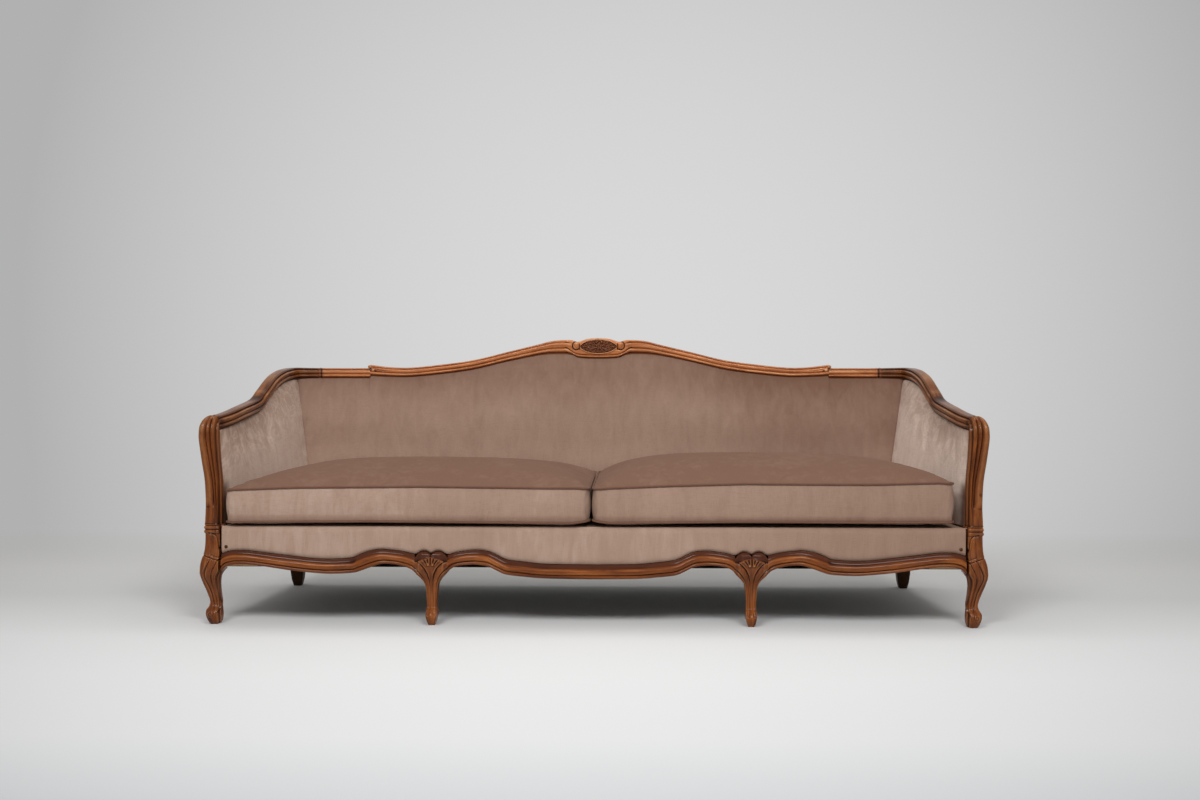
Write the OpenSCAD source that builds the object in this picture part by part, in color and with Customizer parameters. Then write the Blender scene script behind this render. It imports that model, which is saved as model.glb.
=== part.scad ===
// Three-seat cabriole sofa with a camel back, sloping arms and two loose seat cushions.
// A carved show-wood frame stands on four cabriole front legs and two raked rear legs.
// X runs along the seat, the front faces -Y, Z is up, and the floor is at Z = 0.

/* [Overall] */
// Distance between the inner faces of the two front stiles
clear_w = 2160; // [1900:10:2500]
// Distance between the centres of the two middle front legs
mid_span = 930; // [700:10:1100]
// Distance between the inner faces of the two rear stiles at the seat
rear_clear_w = 2016; // [1800:10:2300]
// Distance from the back of the front stiles to the front of the rear stiles
clear_d = 648; // [560:4:720]
// Height of the seat deck that the cushions lie on
deck_h = 289; // [270:1:320]
// Height of the front end of the arms
arm_h = 611; // [580:1:660]
// Height of the back at its two ends
side_h = 746; // [720:1:780]
// Height of the back at its middle
crest_h = 848; // [810:1:900]

/* [Front and side rails] */
// Height of the seat rails, from the carving's lowest edge to the top of the boards
rail_h = 125; // [116:1:140]
// Height of the seat deck above the seat rails
deck_rise = 27; // [17:1:60]
// Rise of the arches beside the legs
arch_rise = 42; // [20:1:48]
// Height of the carved face
face_h = 42; // [34:1:46]
// How far the carved face stands in front of its board
face_out = 18; // [10:1:22]
// Thickness of the seat rail boards
board_t = 32; // [26:1:34]

/* [Legs and stiles] */
// Width of the corner blocks of the front legs, along the seat
block_w = 50; // [46:1:58]
// Depth of the corner blocks of the front legs
block_d = 50; // [46:1:58]
// Width of the blocks of the middle legs
mid_block_w = 96; // [84:1:108]
// Depth of the blocks of the middle legs
mid_block_d = 48; // [46:1:56]
// Width of the rear legs at the seat
rear_block_w = 50; // [44:1:56]
// Depth of the rear legs at the seat
rear_block_d = 50; // [44:1:56]

/* [Arms and back] */
// Width of the arm rails
arm_w = 44; // [36:1:50]
// Height of the arm rails
arm_t = 42; // [34:1:48]
// Depth of the top rails of the back
top_rail_d = 40; // [34:1:46]
// Height of the top rails beside the camel
top_rail_h = 35; // [30:1:40]
// Distance between the two joints of the arm rails with the back
seam_span = 1920; // [1800:10:1960]
// Length of the camel rail
camel_w = 1560; // [1400:10:1640]

/* [Cushions] */
// Depth of the seat cushions
cushion_d = 628; // [560:1:628]
// Height of the cushions' boxed edge
cushion_h = 101; // [80:1:130]
// Rise of the cushions' crown above the boxed edge
crown_h = 72; // [30:1:80]
// Gap between the cushions
cushion_gap = 6; // [4:1:12]
// Radius of the piping on the cushions' edges
welt_r = 3.5; // [2.5:0.5:5]

/* [Suspension] */
// Number of zigzag springs
spring_count = 10; // [6:2:12]
// Diameter of the spring wire
wire = 3.5; // [3:0.5:4]
// Width of a spring's bends
bend_w = 46; // [36:1:56]

/* [Hidden] */

// Clearance of glued joints, on each side of a tenon
joint_gap = 0.1;
// Clearance of soft pieces from what is beside them
soft_gap = 0.3;
// Tenons: thickness, height and length
tenon_t = 12;
tenon_h = 38;
tenon_l = 26;
// Short tenons of the arm and back rails
peg_t = 12;
peg_h = 16;
peg_l = 22;
// Overrun of every cut
cut = 1;

// Frame lines: inner faces of the stiles and the planes that the rails meet
stile_in = clear_w / 2;
front_back_y = -clear_d / 2 - 2 * joint_gap;
rear_front_y = clear_d / 2 - 2 * joint_gap;
rear_in = rear_clear_w / 2;
mid_x = mid_span / 2;
board_top = deck_h - deck_rise;
rail_low = board_top - rail_h;
board_front_y = front_back_y - 0.8 * block_d;
board_back_y = board_front_y + board_t;
mid_back_y = board_front_y + mid_block_d;
rear_rail_y = rear_front_y + rear_block_d - board_t;

// Tenon heights: rails along the seat enter above those along the depth
along_tenon_z = board_top - tenon_h - 0.4 * tenon_h;
depth_tenon_z = along_tenon_z - tenon_h - tenon_t;

// Joins rows of numbers with a smooth curve, with a few steps between neighbours
function catmull(p, q, r, s, t) =
    0.5 * (2 * q + (r - p) * t + (2 * p - 5 * q + 4 * r - s) * t * t + (3 * q - p - 3 * r + s) * t * t * t);
function eased(rows, steps) = concat(
    [for (i = [0:len(rows) - 2]) for (k = [0:steps - 1])
        catmull(rows[max(i - 1, 0)], rows[i], rows[i + 1], rows[min(i + 2, len(rows) - 1)], k / steps)],
    [rows[len(rows) - 1]]);
function lerp(a, b, t) = a + (b - a) * t;
function backwards(rows) = [for (i = [len(rows) - 1:-1:0]) rows[i]];
function unit(v) = v / norm(v);
function middle(ring) = [for (k = [0:2]) (min([for (p = ring) p[k]]) + max([for (p = ring) p[k]])) / 2];

// Rings turned, where they need it, so that they run counterclockwise about the line that they follow
function ring_turn(a) = [for (p = a) 1] * [for (j = [0:len(a) - 1])
    cross(a[j] - middle(a), a[(j + 1) % len(a)] - middle(a))];
function turned(rings) = ring_turn(rings[0]) * (middle(rings[1]) - middle(rings[0])) < 0 ?
    [for (r = rings) backwards(r)] : rings;

// A closed skin over rings that hold the same number of points, with a fan over each end
module loft(given, first, last) {
    rings = turned(given);
    n = len(rings[0]);
    k = len(rings);
    sides = [for (i = [0:k - 2]) for (j = [0:n - 1])
        let (a = i * n + j, b = i * n + (j + 1) % n) each [[a, b + n, b], [a, a + n, b + n]]];
    ends = [for (j = [0:n - 1]) each
        [[k * n, j, (j + 1) % n], [k * n + 1, (k - 1) * n + (j + 1) % n, (k - 1) * n + j]]];
    polyhedron(points = concat([for (r = rings) each r], [first, last]), faces = concat(sides, ends));
}

// A carved boss on the front of a piece: an outline that is drawn in as it rises from the wood.
// The rows give the share of the outline's size and of the rise.
pad_rows_shares = [[1, 0], [1, 0.62], [0.9, 0.9], [0.6, 1.03]];
dish_rows_shares = [[1, 0], [1, 0.78], [0.93, 1], [0.86, 0.92], [0.81, 0.66], [0.5, 0.72]];
// A rounded outline with pointed ends where its power is over one
function rounded(x, z, half_w, half_h, power, count) = [for (k = [0:count - 1])
    let (a = 360 * (k + 0.5) / count)
    [x + half_w * cos(a), z + half_h * sign(sin(a)) * pow(abs(sin(a)), power)]];
module boss(outline, rows, y, rise) {
    mid = [for (k = [0, 1]) (min([for (p = outline) p[k]]) + max([for (p = outline) p[k]])) / 2];
    rings = [for (row = rows) [for (p = outline)
        [lerp(mid[0], p[0], row[0]), y - row[1] * rise, lerp(mid[1], p[1], row[0])]]];
    loft(rings, [mid[0], y, mid[1]], [mid[0], y - rows[len(rows) - 1][1] * rise, mid[1]]);
}

module both_sides() {
    children();
    mirror([1, 0, 0]) children();
}

// A rectangular tenon or mortise of the given size, from a corner
module block(corner, size) {
    translate(corner) cube(size);
}

// ---- Section shapes, as shares of the piece's own width and height ----
// Carved face of a seat rail, bottom to top: how far out and how high
face_shares = [[0.5, 0], [0.9, 0.04], [1, 0.14], [0.86, 0.24], [0.64, 0.28], [0.94, 0.36], [1, 0.5],
    [0.84, 0.64], [0.56, 0.7], [0.5, 0.74], [0.36, 0.98], [0, 1]];
// Moulded rail of the arms and back: towards the sitter and up, from its middle
rail_shares = [[-0.4, -0.5], [0.28, -0.5], [0.34, -0.34], [0.44, -0.3], [0.5, -0.18], [0.42, -0.06],
    [0.5, 0.06], [0.48, 0.26], [0.36, 0.32], [0.4, 0.42], [0.28, 0.5], [-0.26, 0.5], [-0.44, 0.4],
    [-0.5, 0.1], [-0.48, -0.34]];
// Front stile and middle leg: sideways from the inner to the outer face, and back to front
post_shares = [[0, 0], [1, 0], [1, 0.7], [0.94, 0.9], [0.8, 0.97], [0.68, 0.9], [0.52, 1], [0.34, 0.9],
    [0.2, 0.97], [0.06, 0.9], [0, 0.7]];
// Rear stile, with its corners eased
rear_shares = [[0.12, 0], [0.88, 0], [1, 0.12], [1, 0.88], [0.88, 1], [0.12, 1], [0, 0.88], [0, 0.12]];

// Lower edge of the seat rails: place along the piece, height over the lowest edge, height of the face
centre_edge_shares = [[0, 0, 1], [0.31, 0.04, 1], [0.47, 0.16, 1.03], [0.565, 0.26, 1.04],
    [0.615, 0.38, 1.07], [0.665, 0.62, 1.09], [0.72, 0.87, 1.05], [0.8, 0.98, 1.02], [0.885, 0.95, 0.97],
    [0.945, 0.84, 0.97], [0.98, 0.66, 1.05], [1, 0.45, 1.2]];
outer_edge_shares = [[0, 0.45, 1.25], [0.02, 0.66, 1.1], [0.06, 0.86, 1.02], [0.12, 1, 0.98],
    [0.175, 0.99, 1.05], [0.235, 0.74, 1.17], [0.285, 0.5, 1.16], [0.33, 0.37, 1.05], [0.44, 0.31, 1.02],
    [0.53, 0.38, 1], [0.65, 0.55, 1.01], [0.78, 0.81, 0.96], [0.86, 0.93, 0.97], [0.93, 0.93, 0.98],
    [0.967, 0.83, 1], [0.985, 0.7, 1.06], [1, 0.46, 1.22]];
side_edge_shares = [[0, 0.46, 1.22], [0.02, 0.76, 1.05], [0.09, 0.93, 1], [0.2, 0.88, 1], [0.34, 0.5, 1],
    [0.5, 0.34, 1], [0.66, 0.5, 1], [0.8, 0.9, 1], [0.93, 0.96, 1], [1, 0.9, 1]];

half_centre = mid_x - mid_block_w / 2;
outer_start = mid_x + mid_block_w / 2;
function edge_row(x, p) = [x, rail_low + p[1] * arch_rise, p[2] * face_h];
half_edge = [for (p = eased(centre_edge_shares, 2)) edge_row(p[0] * half_centre, p)];
centre_edge = concat([for (p = backwards(half_edge)) [-p[0], p[1], p[2]]],
    [for (i = [1:len(half_edge) - 1]) half_edge[i]]);
outer_edge = [for (p = eased(outer_edge_shares, 2)) edge_row(lerp(outer_start, stile_in, p[0]), p)];
side_edge = [for (p = eased(side_edge_shares, 2)) edge_row(p[0], p)];

// ---- Seat rails ----
function rail_ring(p) = concat(
    [[p[0], board_back_y, p[1]]],
    [for (s = face_shares) [p[0], board_front_y - s[0] * face_out, p[1] + s[1] * p[2]]],
    [[p[0], board_front_y, board_top], [p[0], board_back_y, board_top]]);
function rail_middle(p) = [p[0], (board_front_y + board_back_y) / 2, p[1] + p[2] / 2];

module front_rail(edge) {
    rings = [for (p = edge) rail_ring(p)];
    union() {
        loft(rings, rail_middle(edge[0]), rail_middle(edge[len(edge) - 1]));
        for (end = [edge[0][0] - tenon_l, edge[len(edge) - 1][0] - cut])
            block([end, board_front_y + (board_t - tenon_t) / 2, along_tenon_z],
                [tenon_l + cut, tenon_t, tenon_h]);
    }
}

module front_rail_centre() {
    color("saddlebrown") front_rail(centre_edge);
}

module front_rail_outer() {
    color("saddlebrown") front_rail(outer_edge);
}

// The side rails run from the front stile to the rear stile and close in towards the back
side_face_out = 0.9 * face_out;
side_front_x = stile_in + 0.6 * block_w;
side_rear_x = rear_in + rear_block_w + 0.1 * rear_block_w - side_face_out / 3;
side_tenon_front_x = side_front_x - board_t / 2 - tenon_t / 2;
side_tenon_rear_x = side_rear_x - board_t / 2 - tenon_t / 2;
function side_x(t) = lerp(side_front_x, side_rear_x, t);
function side_y(t) = lerp(front_back_y, rear_front_y, t);
function side_ring(p) = let (x = side_x(p[0]), y = side_y(p[0])) concat(
    [[x - board_t, y, p[1]]],
    [for (s = face_shares) [x + s[0] * side_face_out, y, p[1] + s[1] * p[2]]],
    [[x, y, board_top], [x - board_t, y, board_top]]);
function side_middle(p) = [side_x(p[0]) - board_t / 2, side_y(p[0]), p[1] + p[2] / 2];

module side_rail() {
    rings = [for (p = side_edge) side_ring(p)];
    color("saddlebrown") union() {
        loft(rings, side_middle(side_edge[0]), side_middle(side_edge[len(side_edge) - 1]));
        block([side_tenon_front_x, side_y(0) - tenon_l, depth_tenon_z], [tenon_t, tenon_l + cut, tenon_h]);
        block([side_tenon_rear_x, side_y(1) - cut, depth_tenon_z], [tenon_t, tenon_l + cut, tenon_h]);
    }
}

module rear_seat_rail() {
    low = rail_low + arch_rise / 3;
    color("burlywood") difference() {
        union() {
            block([-rear_in, rear_rail_y, low], [2 * rear_in, board_t, board_top - low]);
            block([-rear_in - tenon_l, rear_rail_y + (board_t - tenon_t) / 2, along_tenon_z],
                [2 * (rear_in + tenon_l), tenon_t, tenon_h]);
        }
        for (side = [-1, 1])
            block([side * mid_x - cross_w / 2 + (cross_w - tenon_h) / 2 - joint_gap, rear_rail_y - cut,
                cross_tenon_z - joint_gap], [tenon_h + 2 * joint_gap, cut + tenon_l / 2 + joint_gap,
                tenon_t + 2 * joint_gap]);
    }
}

// ---- Cross rails, corner blocks and screws ----
// Section of the beams from the middle legs to the rear rail
cross_w = 46;
cross_h = 48;
// Underside of the inner frame, where the dust cover is tacked, over the rails' lowest edge
under_rise = 29;
under_z = rail_low + under_rise;
cross_tenon_z = under_z + (cross_h - tenon_t) / 2;

module seat_cross_rails() {
    color("burlywood") for (side = [-1, 1]) union() {
        block([side * mid_x - cross_w / 2, mid_back_y, under_z],
            [cross_w, rear_rail_y - mid_back_y, cross_h]);
        block([side * mid_x - tenon_h / 2, mid_back_y - tenon_l / 2, cross_tenon_z],
            [tenon_h, rear_rail_y - mid_back_y + tenon_l, tenon_t]);
    }
}

// Corner blocks: leg along each rail, height, and their screws
corner_leg = 95;
corner_h = 46;
corner_clear = 0.15;
screw_r = 2.5;
screw_head_r = 5;
screw_head_h = 3;
screw_l = 46;
screw_bite = 14;

// A block in one corner. Its two legs lie along the seat and along the splayed side rail.
function corner_outline(x, y, lean, turn) = [[x, y], [x - corner_leg, y],
    [x + lean * corner_leg - corner_leg / 4, y + turn * corner_leg],
    [x + lean * corner_leg, y + turn * corner_leg]];
side_lean = (side_rear_x - side_front_x) / (rear_front_y - front_back_y);
front_corner_x = side_front_x - board_t - corner_clear;
front_corner_y = board_back_y + corner_clear;
rear_corner_x = rear_in - corner_clear;
rear_corner_y = rear_rail_y - corner_clear;

module corner_screw_places() {
    for (k = [0.32, 0.72]) {
        translate([front_corner_x - k * corner_leg, front_corner_y + screw_l - screw_bite,
            under_z + corner_h / 2]) rotate([90, 0, 0]) children();
        translate([rear_corner_x - k * corner_leg, rear_corner_y - screw_l + screw_bite,
            under_z + corner_h / 2]) rotate([-90, 0, 0]) children();
    }
}

module corner_block(x, y, lean, turn) {
    difference() {
        translate([0, 0, under_z]) linear_extrude(corner_h) polygon(corner_outline(x, y, lean, turn));
        corner_screw_places() {
            cylinder(h = 2 * screw_l, r = screw_r + joint_gap, $fn = 32);
            translate([0, 0, -corner_leg])
                cylinder(h = corner_leg + screw_head_h, r = screw_head_r + joint_gap, $fn = 32);
        }
    }
}

module corner_blocks() {
    color("burlywood") both_sides() {
        corner_block(front_corner_x, front_corner_y, side_lean, 1);
        corner_block(rear_corner_x, rear_corner_y, 0, -1);
    }
}

module corner_block_screws() {
    color("silver") both_sides() corner_screw_places() {
        cylinder(h = screw_l - screw_bite - joint_gap, r = screw_r, $fn = 32);
        cylinder(h = screw_head_h, r = screw_head_r, $fn = 32);
    }
}

// ---- Front stiles: cabriole leg, banded block and fluted post in one length of wood ----
// Height, inner and outer face as shares of the block's width, back and front face as shares of its depth
leg_rows_shares = [[0, 0.22, 0.72, 0.28, 0.92], [0.045, 0.14, 0.83, 0.2, 1.12],
    [0.105, 0.12, 0.92, 0.18, 1.22], [0.155, 0.13, 0.92, 0.22, 1.14], [0.2, 0.14, 0.8, 0.26, 0.9],
    [0.26, 0.14, 0.77, 0.24, 0.84],
    [0.36, 0.24, 0.95, 0.14, 0.9], [0.45, 0.28, 1.12, 0.08, 1.06], [0.52, 0.24, 1.22, 0.04, 1.22],
    [0.56, 0.12, 1.26, 0.02, 1.28], [0.6, 0, 1.26, 0, 1.31], [0.69, 0, 1.2, 0, 1.3],
    [0.79, 0, 1.04, 0, 1.14], [0.88, 0, 1, 0, 1], [1, 0, 0.98, 0, 1]];
band_rows_shares = [[0.05, 0, 1.06, 0, 1.06], [0.28, 0, 1.06, 0, 1.06], [0.4, 0.02, 1, 0, 1],
    [0.52, 0, 1.06, 0, 1.06], [0.86, 0, 1.06, 0, 1.06], [1, 0.1, 0.96, 0.02, 0.94]];
post_rows_shares = [[0.17, 0.12, 0.98, 0.02, 0.94], [0.46, 0.14, 1.04, 0.02, 0.94],
    [0.7, 0.24, 1.22, 0.02, 0.96], [0.92, 0.3, 1.36, 0.02, 1], [1, 0.3, 1.36, 0.02, 1]];
// Roll of the post's top: turn, and inner and outer face
roll_rows_shares = [[0.25, 0.3, 1.34], [0.5, 0.31, 1.26], [0.75, 0.33, 1.14], [1, 0.36, 0.98]];
// Gap between the rail and the band round the post, and the band's height
band_gap = 4;
band_z = board_top + band_gap;
band_h = 30;
post_z = band_z + band_h;
roll_z = arm_h - block_d * 0.98;

function stile_point(p, row, z) = [stile_in + block_w * lerp(max(row[1], 0), row[2], p[0]),
    front_back_y - block_d * lerp(max(row[3], 0), row[4], p[1]), z];
function roll_point(p, row) = let (reach = block_d * lerp(0.02, 1, p[1]), turn = 90 * row[0])
    [stile_in + block_w * lerp(row[1], row[2], p[0]), front_back_y - reach * cos(turn),
        roll_z + reach * sin(turn)];
stile_rings = concat(
    [for (row = eased(leg_rows_shares, 2)) [for (p = post_shares) stile_point(p, row, row[0] * band_z)]],
    [for (row = band_rows_shares) [for (p = post_shares) stile_point(p, row, band_z + row[0] * band_h)]],
    [for (row = post_rows_shares)
        [for (p = post_shares) stile_point(p, row, lerp(post_z, roll_z, row[0]))]],
    [for (row = roll_rows_shares) [for (p = post_shares) roll_point(p, row)]]);

module front_stile() {
    color("sienna") difference() {
        loft(stile_rings, middle(stile_rings[0]), middle(stile_rings[len(stile_rings) - 1]));
        block([stile_in - cut, board_front_y + (board_t - tenon_t) / 2 - joint_gap,
            along_tenon_z - joint_gap], [cut + tenon_l + joint_gap, tenon_t + 2 * joint_gap,
            tenon_h + 2 * joint_gap]);
        block([side_tenon_front_x - joint_gap, front_back_y - tenon_l - joint_gap,
            depth_tenon_z - joint_gap], [tenon_t + 2 * joint_gap, tenon_l + joint_gap + cut,
            tenon_h + 2 * joint_gap]);
        block([arm_peg_x - joint_gap, front_back_y - peg_l - joint_gap, arm_peg_z - joint_gap],
            [peg_t + 2 * joint_gap, peg_l + joint_gap + cut, peg_h + 2 * joint_gap]);
    }
}

// ---- Middle legs, with a shell under the block ----
// Height, half width as a share of the block's, back and front face as shares of its depth
mid_rows_shares = [[0, 0.19, 0.46, 1.12], [0.05, 0.28, 0.36, 1.32], [0.105, 0.34, 0.34, 1.4],
    [0.155, 0.345, 0.38, 1.26], [0.2, 0.31, 0.42, 1.04], [0.28, 0.31, 0.38, 0.98], [0.38, 0.35, 0.26, 1.02],
    [0.45, 0.4, 0.18, 1.12], [0.5, 0.54, 0.1, 1.24], [0.545, 0.76, 0.04, 1.38], [0.6, 1, 0, 1.5],
    [0.68, 1, 0, 1.56], [0.76, 1, 0, 1.5]];
mid_top_shares = [[0.78, 1, 0, 1], [1, 1, 0, 1]];
// Petals of the shell on a middle leg: place beside its middle, height, half width and half height
petal_shares = [[0.44, 0.73, 0.52, 0.1], [-0.44, 0.73, 0.52, 0.1]];

function mid_point(p, row) = [mid_block_w / 2 * min(row[1], 1) * (2 * p[0] - 1),
    mid_back_y - mid_block_d * lerp(max(row[2], 0), row[3], p[1]), row[0] * board_top];
function flat_point(p, row) = [mid_block_w / 2 * (2 * p[0] - 1),
    mid_back_y - mid_block_d * lerp(row[2], row[3], min(p[1] / 0.9, 1)), row[0] * board_top];

module mid_leg() {
    rings = concat([for (row = eased(mid_rows_shares, 2)) [for (p = post_shares) mid_point(p, row)]],
        [for (row = mid_top_shares) [for (p = post_shares) flat_point(p, row)]]);
    color("sienna") translate([mid_x, 0, 0]) difference() {
        union() {
            loft(rings, middle(rings[0]), middle(rings[len(rings) - 1]));
            for (p = petal_shares)
                boss(rounded(p[0] * mid_block_w / 2, p[1] * board_top, p[2] * mid_block_w / 2,
                    p[3] * board_top, 1, 16), pad_rows_shares, board_front_y + cut, mid_block_d / 2);
        }
        for (side = [-mid_block_w / 2 - cut, mid_block_w / 2 - tenon_l - joint_gap])
            block([side, board_front_y + (board_t - tenon_t) / 2 - joint_gap, along_tenon_z - joint_gap],
                [cut + tenon_l + joint_gap, tenon_t + 2 * joint_gap, tenon_h + 2 * joint_gap]);
        block([-tenon_h / 2 - joint_gap, mid_back_y - tenon_l / 2 - joint_gap, cross_tenon_z - joint_gap],
            [tenon_h + 2 * joint_gap, cut + tenon_l / 2 + joint_gap, tenon_t + 2 * joint_gap]);
    }
}

// ---- Rear stiles: raked leg and back post in one length of wood ----
// Share of the height, then inner and outer face over the block's width, front and back over its depth
rear_rows_shares = [[0, 0.26, 0.78, 0.42, 1.02], [0.03, 0.14, 0.88, 0.26, 1.06],
    [0.07, 0.06, 0.94, 0.16, 1.02], [0.14, 0.02, 1, 0.08, 1], [0.2, 0, 1, 0, 1], [0.37, 0, 1, 0, 1],
    [0.42, 0.04, 0.98, 0.02, 0.94],
    [0.6, 0.2, 0.96, 0.14, 0.88], [0.8, 0.42, 0.98, 0.24, 0.86], [1, 0.62, 1.08, 0.36, 0.86]];
corner_under_z = side_h - (top_rail_h + arm_t) / 2;
// Depth of the housing in the arm rail that takes the stile's head, and its clearance round the rake
head_sink = 8;
head_clear = 0.6;
head_z = corner_under_z + head_sink;
// Tenon on the head of each rear stile
head_peg = 12;
head_peg_x = rear_in + 0.8 * rear_block_w;
head_peg_y = rear_front_y + 0.56 * rear_block_d;
function rear_point(p, row) = [rear_in + rear_block_w * lerp(row[1], row[2], p[0]),
    rear_front_y + rear_block_d * lerp(row[3], row[4], p[1]), row[0] * head_z];
function rear_face_x(s) = rear_in + rear_block_w * 0.62 * s;

module rear_stile() {
    rings = [for (row = rear_rows_shares) backwards([for (p = rear_shares) rear_point(p, row)])];
    color("sienna") difference() {
        union() {
            loft(rings, middle(rings[0]), middle(rings[len(rings) - 1]));
            block([head_peg_x - head_peg / 2, head_peg_y - head_peg / 2, head_z - cut],
                [head_peg, head_peg, head_peg + cut]);
        }
        block([rear_in - cut, lower_rail_y - joint_gap, lower_rail_z - joint_gap],
            [cut + lower_rail_in + joint_gap, lower_rail_t + 2 * joint_gap, lower_rail_h + 2 * joint_gap]);
        block([rear_in - cut, rear_rail_y + (board_t - tenon_t) / 2 - joint_gap, along_tenon_z - joint_gap],
            [cut + tenon_l + joint_gap, tenon_t + 2 * joint_gap, tenon_h + 2 * joint_gap]);
        block([side_tenon_rear_x - joint_gap, rear_front_y - cut, depth_tenon_z - joint_gap],
            [tenon_t + 2 * joint_gap, cut + tenon_l + joint_gap, tenon_h + 2 * joint_gap]);
    }
}

// ---- Arm rails: from the post back, up a curve and round the corner to the back ----
top_rail_y = rear_front_y + 0.84 * rear_block_d;
arm_start_x = stile_in + 0.73 * block_w;
seam_x = seam_span / 2;
// Share of the way inwards, of the way back and of the rise
arm_path_shares = [[0, 0, 0], [0.108, 0.116, 0.07], [0.19, 0.246, 0.17], [0.242, 0.456, 0.305],
    [0.28, 0.557, 0.51], [0.33, 0.687, 0.79], [0.376, 0.803, 0.925], [0.401, 0.89, 0.97],
    [0.43, 0.948, 0.99], [0.53, 0.99, 1], [0.74, 1, 1], [1, 1, 1]];
arm_start_z = arm_h - arm_t / 2 - 0.1 * arm_t;
arm_end_z = side_h - top_rail_h / 2;
arm_path = [for (p = eased(arm_path_shares, 2)) [lerp(arm_start_x, seam_x, p[0]),
    lerp(front_back_y, top_rail_y, p[1]), lerp(arm_start_z, arm_end_z, p[2])]];
arm_peg_x = arm_start_x - peg_t / 2;
arm_peg_z = arm_start_z - peg_h / 2;
last_arm = len(arm_path) - 1;

function arm_dir(i) = i == 0 ? [0, 1, 0] : i == last_arm ? [-1, 0, 0] :
    unit(arm_path[i + 1] - arm_path[i - 1]);
function arm_in(i) = let (d = arm_dir(i)) unit([-d[1], d[0], 0]);
function arm_up(i) = cross(arm_in(i), arm_dir(i)) * -1;
function arm_wide(i) = lerp(arm_w, top_rail_d, pow(i / last_arm, 3));
function arm_tall(i) = lerp(arm_t, top_rail_h, pow(i / last_arm, 3));
function arm_ring(i) = [for (p = rail_shares)
    arm_path[i] + arm_in(i) * p[0] * arm_wide(i) + arm_up(i) * p[1] * arm_tall(i)];

module arm_rail() {
    rings = [for (i = [0:last_arm]) arm_ring(i)];
    color("sienna") difference() {
        union() {
            loft(rings, arm_path[0], arm_path[last_arm]);
            block([arm_peg_x, front_back_y - peg_l, arm_peg_z], [peg_t, peg_l + cut, peg_h]);
        }
        block([seam_x - cut, top_rail_y - peg_t / 2 - joint_gap, arm_end_z - peg_h / 2 - joint_gap],
            [cut + peg_l + joint_gap, peg_t + 2 * joint_gap, peg_h + 2 * joint_gap]);
        translate([0, 0, head_z - arm_t]) linear_extrude(arm_t)
            polygon([for (p = rear_shares)
                let (q = rear_point(p, rear_rows_shares[len(rear_rows_shares) - 1]))
                [q[0] + (p[0] < 0.5 ? -1 : 1) * head_clear, q[1] + (p[1] < 0.5 ? -1 : 1) * head_clear]]);
        block([head_peg_x - head_peg / 2 - joint_gap, head_peg_y - head_peg / 2 - joint_gap,
            head_z - cut], [head_peg + 2 * joint_gap, head_peg + 2 * joint_gap,
            cut + head_peg + joint_gap]);
    }
}

// ---- Top rails of the back ----
// Camel rail from its middle outwards: place, height of its top edge and its own height over the side rail's
camel_shares = [[0, 1, 2], [0.05, 0.97, 1.89], [0.09, 0.88, 1.54], [0.125, 0.94, 1.43], [0.2, 0.91, 1.31],
    [0.27, 0.78, 1.09], [0.4, 0.54, 0.97], [0.55, 0.265, 0.95], [0.7, 0.11, 0.95], [0.82, 0.02, 0.94],
    [0.9, 0.025, 0.95], [0.96, 0.07, 1.04], [1, 0.11, 1.1]];
camel_x = camel_w / 2;
half_camel = [for (p = eased(camel_shares, 2))
    [p[0] * camel_x, lerp(side_h, crest_h, p[1]), p[2] * top_rail_h]];
camel = concat([for (p = backwards(half_camel)) [-p[0], p[1], p[2]]],
    [for (i = [1:len(half_camel) - 1]) half_camel[i]]);
function top_ring(x, top, tall) = [for (p = rail_shares)
    [x, top_rail_y - p[0] * top_rail_d, top - tall / 2 + p[1] * tall]];

// Carved crest: a sunken panel with two tongues above it, and a scroll and an end curl on either side
crest_w = 128;
crest_t = 50;
crest_rise = 20;
crest_drop_share = 0.57;
crest_z = crest_h - crest_drop_share * crest_t;
crest_y = top_rail_y - top_rail_d * 0.25;
// Place along half the crest and over its half height, half sizes over the same, power of the outline
crest_detail_shares = [[0.09, 0.86, 0.06, 0.26, 1], [1.28, 0.12, 0.13, 0.44, 1.2],
    [1.14, -0.3, 0.1, 0.2, 1]];
curl_shares = [0.982, 0.42, 0.014, 0.34];

module top_rail_centre() {
    rings = [for (p = camel) top_ring(p[0], p[1], p[2])];
    ends = [for (p = [camel[0], camel[len(camel) - 1]]) [p[0], top_rail_y, p[1] - p[2] / 2]];
    color("peru") difference() {
        union() {
            loft(rings, ends[0], ends[1]);
            boss(rounded(0, crest_z, crest_w / 2, crest_t / 2, 1.35, 28), dish_rows_shares,
                crest_y, crest_rise);
            both_sides() {
                for (d = crest_detail_shares)
                    boss(rounded(d[0] * crest_w / 2, crest_z + d[1] * crest_t / 2, d[2] * crest_w / 2,
                        d[3] * crest_t / 2, d[4], 10), pad_rows_shares, crest_y, crest_rise);
                boss(rounded(curl_shares[0] * camel_x, side_h - curl_shares[1] * top_rail_h,
                    curl_shares[2] * camel_x, curl_shares[3] * top_rail_h, 1, 10), pad_rows_shares, crest_y,
                    0.7 * crest_rise);
            }
        }
        for (end = [-camel_x - cut, camel_x - peg_l - joint_gap])
            block([end, top_rail_y - peg_t / 2 - joint_gap, arm_end_z - peg_h / 2 - joint_gap],
                [cut + peg_l + joint_gap, peg_t + 2 * joint_gap, peg_h + 2 * joint_gap]);
    }
}

module top_rail_side() {
    rings = [for (x = [camel_x, seam_x]) top_ring(x, side_h, top_rail_h)];
    color("peru") union() {
        loft(rings, [camel_x, top_rail_y, arm_end_z], [seam_x, top_rail_y, arm_end_z]);
        block([camel_x - peg_l, top_rail_y - peg_t / 2, arm_end_z - peg_h / 2],
            [seam_x - camel_x + 2 * peg_l, peg_t, peg_h]);
    }
}

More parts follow.
